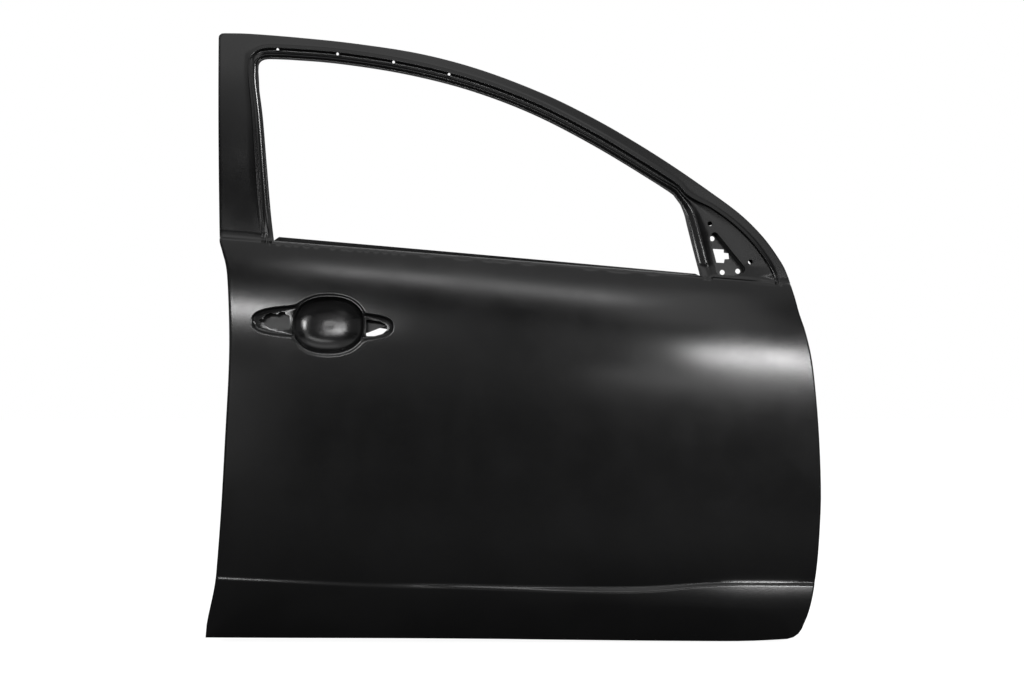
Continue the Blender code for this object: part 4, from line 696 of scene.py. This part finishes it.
def buildSkin():
    rearColumn, bottomLine, frontColumn, outer, inner = outlineSides(rowShares)
    lines = skinFrameLines(outer, inner)
    pillarCount = len(lines[0])
    columns = [p[0] for p in lines[0]] + sillPlaces(lines[0][-1][0], lines[-1][-1][0])
    sillCount = len(columns) - pillarCount
    columns += [p[0] for p in lines[-1][::-1]]
    top = [(x, beltLine(x)) for x in columns]
    top[0], top[-1] = rearColumn[-1], frontColumn[-1]
    us = [(p[0] - top[0][0]) / (top[-1][0] - top[0][0]) for p in top]
    places = fillSheet(rearColumn, along(bottomLine, us), frontColumn, top, us, rowShares)

    sheet = Sheet()
    rows = []
    last = places.shape[1] - 1
    for j, line in enumerate(places):
        points = []
        for i, (x, z) in enumerate(line):
            edge = skin["edgeRoll"] if j == 0 or i in (0, last) else 0.0
            points.append(surfacePoint((x, z), edge))
        rows.append(sheet.row(points))
    frameRows = [sheet.row([surfacePoint(p, p[2]) for p in line]) for line in lines]
    left, right, low, high = recessBlock(places)
    for j in range(len(rows) - 1):
        for i in range(last):
            if not (left <= i < right and low <= j < high):
                sheet.faces.append((rows[j][i], rows[j][i + 1], rows[j + 1][i + 1], rows[j + 1][i]))

    # Belt edge: up to the frame at both ends, rolled in towards the glass between them
    underGlass = columns[pillarCount:pillarCount + sillCount]
    goals = frameRows[0], frameRows[-1][::-1]
    first = rows[-1]
    steps = []
    rolls = skin["beltRolls"]
    for n, (rise, depth) in enumerate(rolls, 1):
        middle = [surfacePoint((x, beltLine(x) + rise), depth) for x in underGlass]
        if n == len(rolls):
            step = goals[0] + sheet.row(middle) + goals[1]
        else:
            ends = []
            for side, goal in zip((slice(0, pillarCount), slice(-pillarCount, None)), goals):
                pairs = zip(rows[-1][side], goal)
                ends.append([mixPoints(sheet.points[a], sheet.points[b], n / len(rolls)) for a, b in pairs])
            step = sheet.row(ends[0] + middle + ends[1])
            steps.append(step)
        sheet.strip(first, step)
        first = step
    for a, b in zip(frameRows, frameRows[1:]):
        sheet.strip(a, b)

    # Handle recess
    border = rows[low][left:right] + [rows[j][right] for j in range(low, high)]
    border += rows[high][right:left:-1] + [rows[j][left] for j in range(high, low, -1)]
    rays = recessRays([(sheet.points[n][0], sheet.points[n][2]) for n in border])
    ring = border
    for n in range(len(rays[0])):
        following = sheet.row([surfacePoint(ray[n], ray[n][2]) for ray in rays])
        sheet.strip(ring, following, closed=True)
        ring = following
    sheet.faces.append(tuple(ring))

    # Hem: rolled over the edge and back against the inner panel's flange
    edge = rowLoop(rows + steps, frameRows)
    flat = [(sheet.points[n][0], sheet.points[n][2]) for n in edge]
    depths = [sheet.points[n][1] for n in edge]
    skinAt = depthFinder(sheet)
    thick = 2 * door["gauge"] + skin["flangeSeat"] + skin["hemGaps"] * door["gap"]
    ring = edge
    for distance, share in skin["hemTurn"]:
        moved = inset(flat, distance) if distance else flat
        following = sheet.row([(p[0], depth + share * thick, p[1]) for p, depth in zip(moved, depths)])
        sheet.strip(following, ring, closed=True)
        ring = following
    start = [(p[0], depth + thick, p[1]) for p, depth in zip(inset(flat, skin["hemTop"]), depths)]
    lip = []
    hemShare = (skin["hem"] - skin["flangeInset"]) / (skin["flangeWidth"] - skin["flangeInset"])
    lifted = door["gauge"] + skin["panelGauge"] + skin["lipGaps"] * door["gap"]
    for place, near, far in zip(*(inset(flat, skin[name]) for name in ("hem", "flangeInset", "flangeWidth"))):
        nearSeat = flangeDepth(skinAt, near, skin["edgeReach"])
        farSeat = flangeDepth(skinAt, far, skin["shoulderReach"])
        lip.append((place[0], mix(nearSeat, farSeat, hemShare) + lifted, place[1]))
    for line in (start, lip):
        following = sheet.row(line)
        sheet.strip(following, ring, closed=True)
        ring = following
    return sheet, skinAt, inner


skinSheet, skinAt, innerLine = buildSkin()
outerSkin = addPiece("outerSkin", skinSheet.mesh("outerSkin"), door["gauge"], skinCutters(innerLine))
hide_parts("outer_skin")
print("outer skin", len(outerSkin.data.polygons))


# Inner panel: holes, clips and beads in shares of the door's length and waist height, the rest in metres

panel = dict(
    gauge=.0008, depth=.125, beltDepth=.05, beltRise=.012, frontRiseShare=.55, lean=.09, draft=.003,
    frameDepth=.027, frameLeast=.002, frameSteps=7,
    fillet=.004, rows=132, cell=.0066, frontWall=(1.046, .09, .54), rearWall=(.064, .36, .575),
    section=((.0225, .027), (.0208, .0264), (.0197, .024), (.0183, .0168), (.0174, .0145),
             (.016, .0134), (.008, .0134), (.0, .0134)),
    pan=((.206, .05), (.815, .046), (.858, .25), (.858, .528), (.188, .56)), panCorner=.05,
    panStep=.01, panSlope=.018,
    rearHole=((.19, .33), (.42, .3), (.44, .74), (.215, .8)),
    frontHole=((.48, .4), (.64, .42), (.72, .58), (.7, .73), (.49, .75)),
    holeCorner=.045, holeRim=.0035, holeRimFrom=.001, holeRimWidth=.009,
    speaker=(.735, .335), speakerRadius=.078, speakerPad=.004, speakerPadWidth=.013,
    clips=((.09, .22), (.3, .13), (.54, .13), (.7, .13), (.88, .2), (.93, .56),
           (.09, .56), (.46, .2), (.84, .8)),
    clipRadius=.005, clipBoss=.0014, clipLand=.002, softEdge=.006,
    beads=(((.15, .12), (.255, .172)), ((.345, .095), (.6, .095)), ((.905, .3), (.905, .52)),
           ((.14, .44), (.14, .62)), ((.52, .835), (.76, .835)), ((.47, .3), (.6, .33))),
    beadHalf=.0085, beadHeight=.0032, beadEdge=.0065,
    # Flange to wall: distance in, reach over the skin and drop; foot: share in and share down
    flange=((.01, "shoulderReach", 0), (.0122, "shoulderReach", .0003),
            (.0134, "shoulderReach", .0016), (.014, "shoulderReach", .004)),
    wallRows=(.25, .5, .75), footTurn=((0, 1.0), (.1, .56), (.3, .24), (.6, .06)), footOver=.001,
    hinges=((.083, .165), (.083, .47)), boltSpread=.025, boltRadius=.0045, grommet=(.083, .392),
    grommetRadius=.017, check=((.083, .3175), .013, .022, .6), latch=((.08, .47), .019, .035, .4),
    trimAccess=.006, trimReach=.01, mirrorClearance=.014)


def placeOnPanel(shares):
    return door["length"] * shares[0], door["waist"] * shares[1]


def clampWalls(place):
    # The hinge wall and the latch wall stay flat
    x, z = place
    if panel["frontWall"][1] < z < panel["frontWall"][2]:
        x = min(x, panel["frontWall"][0])
    if panel["rearWall"][1] < z < panel["rearWall"][2]:
        x = max(x, panel["rearWall"][0])
    return x, z


def panelHoles():
    shapes = [[placeOnPanel(p) for p in panel[name]] for name in ("rearHole", "frontHole")]
    return [roundedOutline(shape, panel["holeCorner"], fine["holeSteps"]) for shape in shapes]


def panelRelief(xs, zs):
    # How far the pressed face stands towards the skin: stepped pan and rims, less the seats and beads
    pan = roundedOutline(panel["pan"], panel["panCorner"], fine["panSteps"])
    relief = panel["panStep"] * ease(-distanceTo(pan, xs, zs) / panel["panSlope"] + .5)
    for hole in panelHoles():
        away = distanceTo(hole, xs, zs) - panel["holeRimFrom"]
        relief = relief + panel["holeRim"] * ease(1 - away / panel["holeRimWidth"])
    x, z = placeOnPanel(panel["speaker"])
    away = np.hypot(xs - x, zs - z) - panel["speakerRadius"] - panel["speakerPadWidth"]
    relief = relief - panel["speakerPad"] * ease(1 - away / panel["softEdge"])
    for bead in panel["beads"]:
        away = distanceTo([placeOnPanel(end) for end in bead], xs, zs)
        relief = relief - panel["beadHeight"] * ease((panel["beadHalf"] - np.abs(away)) / panel["beadEdge"])
    for clip in panel["clips"]:
        x, z = placeOnPanel(clip)
        away = np.hypot(xs - x, zs - z) - panel["clipRadius"] - panel["clipLand"]
        relief = relief - panel["clipBoss"] * ease(1 - away / panel["softEdge"])
    return relief


def splitLoop(loop, columns, rows, stations):
    # The bottom, front, frame and rear of a closed outline, each in the order of the side it came from
    start = columns - 1 + rows
    frameSide = loop[start:start + stations][::-1]
    return loop[:columns], loop[columns - 1:start], frameSide, [loop[0]] + loop[start + stations:][::-1]


def panelFrameLine(a, b):
    # Across the frame from its outer wall to the glass opening
    width = math.dist(a, b)
    squeeze = min(1.0, (width - panel["frameLeast"]) / panel["section"][0][0])
    first = width - squeeze * panel["section"][0][0]
    stops = [(first * n / panel["frameSteps"], panel["frameDepth"]) for n in range(panel["frameSteps"])]
    stops += [(width - squeeze * distance, depth) for distance, depth in panel["section"]]
    return [surfacePoint(mixPoints(a, b, reach / width), depth) for reach, depth in stops]


def panelColumns(outer, inner):
    # First where the frame's lines come down at both ends, then evenly between them
    ends = []
    for a, b in ((outer[0], inner[0]), (outer[-1], inner[-1])):
        toward = (Vector(b) - Vector(a)).normalized()
        innermost = skin["flangeWidth"] + panel["draft"] + panel["fillet"]
        ends.append([p[0] for p in panelFrameLine(tuple(Vector(a) + toward * innermost), b)])
    ends[1].reverse()
    cells = int((ends[1][0] - ends[0][-1]) / panel["cell"])
    return ends, [mix(ends[0][-1], ends[1][0], n / cells) for n in range(1, cells)]


def buildPanel():
    shares = evenShares(panel["rows"])
    rearColumn, bottomLine, frontColumn, outer, inner = outlineSides(shares)
    ends, underGlass = panelColumns(outer, inner)
    columns = ends[0] + underGlass + ends[1]
    us = [(x - columns[0]) / (columns[-1] - columns[0]) for x in columns]
    loop = outlineLoop(along(bottomLine, us), frontColumn, outer, rearColumn)
    foot = [clampWalls(place) for place in insetFar(loop, skin["flangeWidth"] + panel["draft"])]
    sides = splitLoop(insetFar(foot, panel["fillet"]), len(us), len(shares), len(outer))
    lines = [panelFrameLine(a, b) for a, b in zip(sides[2], inner)]
    rear, front = along(sides[3], shares), along(sides[1], shares)
    top = [(x, beltLine(x)) for x in columns]
    count = len(ends[0])
    for n in range(1, count):
        top[n] = (lines[0][n][0], lines[0][n][2] - door["beltRise"])
        top[-n - 1] = (lines[-1][n][0], lines[-1][n][2] - door["beltRise"])
    top[0], top[-1] = rear[-1], front[-1]
    places = fillSheet(rear, along(sides[0], us), front, top, us, shares)
    xs, zs = places[:, :, 0], places[:, :, 1]

    # Depth of each column at the belt, where the face leans out towards the glass
    rims = [point[1] for point in lines[0]]
    rims += [skinDepth(x, beltLine(x)) + panel["beltDepth"] for x in underGlass]
    rims = np.array(rims + [point[1] for point in lines[-1][::-1]])
    leanShare = ease(1 - (1 - np.array(shares)) * door["waist"] / panel["lean"])[:, None]
    depths = panel["depth"] * (1 - leanShare) + rims[None, :] * leanShare
    depths = depths - panelRelief(xs, zs) * (1 - leanShare)

    sheet = Sheet()
    rows = [sheet.row(zip(*line)) for line in zip(xs, depths, zs)]
    frameRows = [sheet.row(line) for line in lines]
    sill = []
    rearRise, frontRise = panel["beltRise"], panel["frontRiseShare"] * panel["beltRise"]
    for n, x in enumerate(underGlass):
        rise = mix(rearRise, frontRise, (n + 1) / (len(underGlass) + 1))
        sill.append((x, rims[count + n], beltLine(x) + rise))
    step = frameRows[0] + sheet.row(sill) + frameRows[-1][::-1]
    for first, second in zip(rows, rows[1:] + [step]):
        sheet.strip(first, second)
    for a, b in zip(frameRows, frameRows[1:]):
        sheet.strip(a, b)

    # Rounded foot of the side wall, the wall, the bend to the hem flange and the flange
    base = rowLoop(rows, frameRows)
    flange = []
    for distance, reach, drop in ((skin["flangeInset"], "edgeReach", 0), *panel["flange"]):
        ring = [clampWalls(place) for place in insetFar(loop, distance)]
        flange.append([(p[0], flangeDepth(skinAt, p, skin[reach]) + drop, p[1]) for p in ring])
    # The face's depth all round: flat below, leaning out near the belt, and the frame's own depth above
    frameStart = len(us) + len(shares) - 1
    faceDepths = []
    for n, place in enumerate(foot):
        rim = lines[0][0][1] if place[0] < .5 * door["length"] else lines[-1][0][1]
        lean = smoothStep(1 - (beltLine(place[0]) - place[1]) / panel["lean"])
        station = n - frameStart
        inFrame = 0 <= station < len(lines)
        faceDepths.append(lines[-1 - station][0][1] if inFrame else mix(panel["depth"], rim, lean))
    wall = []
    for inward, fall in panel["footTurn"]:
        ring = insetFar(foot, panel["fillet"] * inward) if inward else foot
        wall.append([(p[0], depth - panel["fillet"] * fall, p[1]) for p, depth in zip(ring, faceDepths)])
    # The frame's wall is low, so its foot never lies nearer the skin than the flange
    for n, depth in enumerate(faceDepths):
        lowest = flange[-1][n][1] + panel["footOver"]
        for ring in wall:
            ring[n] = (ring[n][0], max(ring[n][1], min(depth, lowest)), ring[n][2])
    middle = [[mixPoints(a, b, share) for a, b in zip(flange[-1], wall[0])] for share in panel["wallRows"]]
    rings = [sheet.row(ring) for ring in flange + middle + wall]
    for first, second in zip(rings, rings[1:]):
        sheet.strip(first, second, closed=True)
    sheet.zip(rings[-1], base)
    return sheet


def slotCutter(slot, span):
    (y, z), half, tall, cornerShare = slot
    corners = [(y - half, z - tall), (y + half, z - tall), (y + half, z + tall), (y - half, z + tall)]
    return prism(roundedOutline(corners, cornerShare * half, fine["slotSteps"]), *span, "X")


def panelCutters(inner):
    front, rear, face = ((middle - door["overrun"], middle + door["overrun"])
                         for middle in (panel["frontWall"][0], panel["rearWall"][0], panel["depth"]))
    solids = [prism(hole, *face, "Y") for hole in panelHoles()]
    speaker, sides = placeOnPanel(panel["speaker"]), fine["holeSides"]
    solids.append(roundHole(speaker, panel["speakerRadius"], fine["speakerSides"], *face))
    solids += [roundHole(placeOnPanel(clip), panel["clipRadius"], sides, *face) for clip in panel["clips"]]
    for y, z in panel["hinges"]:
        for side in (-1, 1):
            place = (y, z + side * panel["boltSpread"])
            solids.append(roundHole(place, panel["boltRadius"], sides, *front, "X"))
    solids.append(roundHole(panel["grommet"], panel["grommetRadius"], fine["grommetSides"], *front, "X"))
    solids.append(slotCutter(panel["check"], front))
    solids.append(slotCutter(panel["latch"], rear))
    depth = skinDepth(*placeFrame("mirror")[0])
    mirror = inset(roundedOutline(placeFrame("mirror"), skin["mirrorCorner"]), -panel["mirrorClearance"])
    solids.append(prism(mirror, depth, depth + door["overrun"], "Y"))
    for share in skin["trimHoles"]:
        place = trimPlace(share, inner)
        depth = skinDepth(*place) + panel["frameDepth"]
        span = (depth - panel["trimReach"], depth + panel["trimReach"])
        solids.append(roundHole(place, panel["trimAccess"], sides, *span))
    return solids


panelData = buildPanel().mesh("innerPanel")
innerPanel = addPiece("innerPanel", panelData, panel["gauge"], panelCutters(innerLine), False)
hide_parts("inner_panel")
print("inner panel", len(innerPanel.data.polygons))


# Finishes

def startMaterial(name):
    material = bpy.data.materials.new(name)
    material.use_nodes = True
    return material, material.node_tree, material.node_tree.nodes["Principled BSDF"]


def plug(tree, socket, value):
    if isinstance(value, bpy.types.NodeSocket):
        tree.links.new(value, socket)
    else:
        socket.default_value = value


def feed(tree, node, **values):
    # Each named input gets a plain value or a link; an underscore stands for a space
    for name, value in values.items():
        plug(tree, node.inputs[name.replace("_", " ")], value)


def noiseNode(tree, scale, detail, roughness=.5, stretch=None):
    place = tree.nodes.new("ShaderNodeTexCoord").outputs["Object"]
    noise = tree.nodes.new("ShaderNodeTexNoise")
    if stretch:
        turn = tree.nodes.new("ShaderNodeMapping")
        feed(tree, turn, Scale=stretch, Vector=place)
        place = turn.outputs["Vector"]
    feed(tree, noise, Scale=scale, Detail=detail, Roughness=roughness, Vector=place)
    return noise.outputs["Fac"]


def rangeNode(tree, value, low, high, outLow, outHigh):
    node = tree.nodes.new("ShaderNodeMapRange")
    node.interpolation_type = "SMOOTHSTEP"
    feed(tree, node, From_Min=low, From_Max=high, To_Min=outLow, To_Max=outHigh, Value=value)
    return node.outputs["Result"]


def sumNode(tree, kind, a, b):
    node = tree.nodes.new("ShaderNodeMath")
    node.operation = kind
    plug(tree, node.inputs[0], a)
    plug(tree, node.inputs[1], b)
    return node.outputs["Value"]


def colourMix(tree, share, a, b):
    node = tree.nodes.new("ShaderNodeMix")
    node.data_type = "RGBA"
    feed(tree, node, Factor=share, A=(*a, 1), B=(*b, 1))
    return node.outputs["Result"]


def bumpNode(tree, noise, strength, distance, before=None):
    node = tree.nodes.new("ShaderNodeBump")
    feed(tree, node, Strength=strength, Distance=distance, Height=noiseNode(tree, *noise))
    if before:
        feed(tree, node, Normal=before)
    return node.outputs["Normal"]


# Noises: scale, detail, roughness, stretch; ranges: low, high, out low, out high; bumps: strength, height
coatSettings = dict(
    dark=(.0022, .0022, .0024), pale=(.0042, .0042, .0044), specular=.45, streak=.025,
    patches=((5.5, 4), (.38, .66, 0, 1)), gloss=((9, 5, .6), (.32, .7, .17, .215)),
    speckle=((420, 2), (.45, .75, 0, .035)), streaks=((7, 4, .6, (1, 1, .22)), (.58, .74)),
    wave=((4.2, 2), .22, .0022), peel=((300, 3), .1, .00022))
# The same coat where it is thinner, duller and dustier, on the parts inside
insideSettings = dict(
    coatSettings, dark=(.0075, .0075, .008), pale=(.015, .015, .0152), specular=.42,
    streak=.05, gloss=((9, 5, .6), (.32, .7, .3, .42)))
zincSettings = dict(
    bright=(.56, .565, .54), dull=(.33, .325, .29), metallic=.92,
    cloud=((160, 4), (.35, .68, 0, 1)), gloss=((420, 3), (.3, .7, .28, .5)),
    grain=((900, 2), .12, .0002))
masticSettings = dict(
    dark=(.016, .015, .014), pale=(.034, .032, .029), rough=.82, specular=.3,
    dust=((60, 5, .6), (.42, .7, 0, 1)), pits=((520, 4, .65), .55, .0009),
    swell=((90, 2), .35, .0014))


def ranged(tree, noise, span):
    return rangeNode(tree, noiseNode(tree, *noise), *span)


def eCoat(name, settings):
    # Dipped black primer: a slight peel, uneven gloss and dust that has settled in places
    material, tree, shader = startMaterial(name)
    patches = ranged(tree, *settings["patches"])
    colour = colourMix(tree, patches, settings["dark"], settings["pale"])
    gloss = ranged(tree, *settings["gloss"])
    speckle = ranged(tree, *settings["speckle"])
    noise, span = settings["streaks"]
    streaks = ranged(tree, noise, (*span, 0, settings["streak"]))
    rough = sumNode(tree, "ADD", sumNode(tree, "ADD", gloss, speckle), streaks)
    wave = bumpNode(tree, *settings["wave"])
    feed(tree, shader, Base_Color=colour, Roughness=rough, Specular_IOR_Level=settings["specular"],
         Normal=bumpNode(tree, *settings["peel"], wave))
    return material


def zincPlate(name, settings):
    material, tree, shader = startMaterial(name)
    colour = colourMix(tree, ranged(tree, *settings["cloud"]), settings["bright"], settings["dull"])
    feed(tree, shader, Base_Color=colour, Roughness=ranged(tree, *settings["gloss"]),
         Normal=bumpNode(tree, *settings["grain"]), Metallic=settings["metallic"])
    return material


def masticPad(name, settings):
    # Expanded sealer: matt, pitted, a little dusty
    material, tree, shader = startMaterial(name)
    colour = colourMix(tree, ranged(tree, *settings["dust"]), settings["dark"], settings["pale"])
    pits = bumpNode(tree, *settings["pits"])
    feed(tree, shader, Base_Color=colour, Normal=bumpNode(tree, *settings["swell"], pits),
         Roughness=settings["rough"], Specular_IOR_Level=settings["specular"])
    return material


coat = eCoat("blackECoat", coatSettings)
insideCoat = eCoat("insideCoat", insideSettings)
zinc = zincPlate("zincPlate", zincSettings)
mastic = masticPad("mastic", masticSettings)
for piece in (outerSkin, innerPanel):
    piece.data.materials.clear()
    piece.data.materials.append(coat)
for name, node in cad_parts.items():
    finish = coat if name in ("outer_skin", "inner_panel") else insideCoat
    finish = zinc if "nut" in name else mastic if "pad" in name else finish
    for slot in node.material_slots:
        slot.material = finish
    if not node.material_slots:
        node.data.materials.append(finish)
print("finishes")


# Studio: pale floor, white surroundings, soft boxes in front

studio = dict(
    floorHalf=14, floorX=-.5, floorGap=.001, floorGrey=(.16, .16, .16, 1), floorRough=.85, floorSpecular=.1,
    floorGlow=.93, white=(1, 1, 1, 1), middle=(-.5, -.03, .1), floorBehind=(.15, 1.0, 0, .62),
    # What the coat mirrors: white behind the door; in front of it dim levels that change with the height
    behind=(-.25, .15, 0, 1), low=(-.07, .06, .006, .33), gap=(.34, .45, 0, .27), high=(.56, .76, 0, .62),
    plain=.42)


def directions(tree, kind):
    # The kinds of light path, and the place or direction along each axis
    axes = tree.nodes.new("ShaderNodeSeparateXYZ")
    feed(tree, axes, Vector=tree.nodes.new("ShaderNodeTexCoord").outputs[kind])
    return tree.nodes.new("ShaderNodeLightPath").outputs, axes.outputs


floorData = bpy.data.meshes.new("floor")
half = studio["floorHalf"]
corners = [(x * half, y * half, 0) for x, y in ((-1, -1), (1, -1), (1, 1), (-1, 1))]
floorData.from_pydata(corners, [], [(0, 1, 2, 3)])
floor = bpy.data.objects.new("floor", floorData)
floor.location = (studio["floorX"], 0, cadLow.z - studio["floorGap"])
bpy.context.scene.collection.objects.link(floor)
floor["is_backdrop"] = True
floorMaterial, tree, shader = startMaterial("paleFloor")
path, axes = directions(tree, "Object")
behind = sumNode(tree, "MULTIPLY", rangeNode(tree, axes["Y"], *studio["floorBehind"]), path["Is Glossy Ray"])
glow = sumNode(tree, "ADD", sumNode(tree, "MULTIPLY", path["Is Camera Ray"], studio["floorGlow"]), behind)
feed(tree, shader, Base_Color=studio["floorGrey"], Roughness=studio["floorRough"],
     Specular_IOR_Level=studio["floorSpecular"], Emission_Color=studio["white"], Emission_Strength=glow)
floorData.materials.append(floorMaterial)

world = bpy.data.worlds.new("studio")
bpy.context.scene.world = world
world.use_nodes = True
tree = world.node_tree
path, axes = directions(tree, "Generated")
behind, low, gap, high = (rangeNode(tree, axes[axis], *studio[name])
                          for name, axis in (("behind", "Y"), ("low", "Z"), ("gap", "Z"), ("high", "Z")))
room = sumNode(tree, "ADD", sumNode(tree, "SUBTRACT", low, gap), high)
mirrored = sumNode(tree, "MAXIMUM", behind, room)
seen = sumNode(tree, "MAXIMUM", path["Is Glossy Ray"], path["Is Transmission Ray"])
plain = sumNode(tree, "MULTIPLY", sumNode(tree, "SUBTRACT", 1.0, seen), studio["plain"])
level = sumNode(tree, "ADD", sumNode(tree, "MULTIPLY", mirrored, seen), plain)
feed(tree, tree.nodes["Background"], Color=studio["white"],
     Strength=sumNode(tree, "MAXIMUM", level, path["Is Camera Ray"]))

# Aimed at the middle of the door: azimuth, elevation, distance, width, height, power, roll
softBoxes = dict(
    overheadStrip=(2, 39.2, 3.0, 1.5, .21, 6.6, -11), overheadRight=(24, 33, 3.0, .8, .9, 2.6, 0),
    topBox=(4, 68, 3.0, 2.4, 1.0, 5, 0), rightBox=(27, 12.5, 3.2, .57, .36, 23, 0),
    rightLowBox=(20, 4.5, 3.2, 1.0, .22, 1.6, 0), leftBox=(-20, 18.0, 3.2, .9, .28, 18, 0),
    backLeft=(148, 24, 3.4, 1.1, .7, 34, 0), backRight=(214, 34, 3.4, 1.1, .7, 26, 0),
    leftLowBox=(-26, -3, 3.2, .8, .5, 1.0, 0), creaseBox=(37, 9, 3.2, .6, .45, 8.0, 0))
for name, (azimuth, elevation, distance, width, height, power, roll) in softBoxes.items():
    light = bpy.data.lights.new(name, "AREA")
    light.shape, light.size, light.size_y, light.energy = "RECTANGLE", width, height, power
    box = bpy.data.objects.new(name, light)
    a, e = math.radians(azimuth), math.radians(elevation)
    toward = Vector((math.sin(a) * math.cos(e), -math.cos(a) * math.cos(e), math.sin(e)))
    box.location = Vector(studio["middle"]) + toward * distance
    box.rotation_mode = "QUATERNION"
    box.rotation_quaternion = toward.to_track_quat("Z", "Y") @ Quaternion((0, 0, 1), math.radians(roll))
    box.visible_camera = False
    bpy.context.scene.collection.objects.link(box)

view = dict(lens=100.45, sensor=36, place=(-.50474, -5.083, .05349))
camera = bpy.data.cameras.new("camera")
camera.lens, camera.sensor_width = view["lens"], view["sensor"]
cameraObject = bpy.data.objects.new("camera", camera)
cameraObject.location = view["place"]
cameraObject.rotation_euler = (math.radians(90), 0, 0)
bpy.context.scene.collection.objects.link(cameraObject)
bpy.context.scene.camera = cameraObject
bpy.context.scene.view_settings.view_transform = "Standard"
print("studio")

bpy.context.view_layer.update()
low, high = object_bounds()
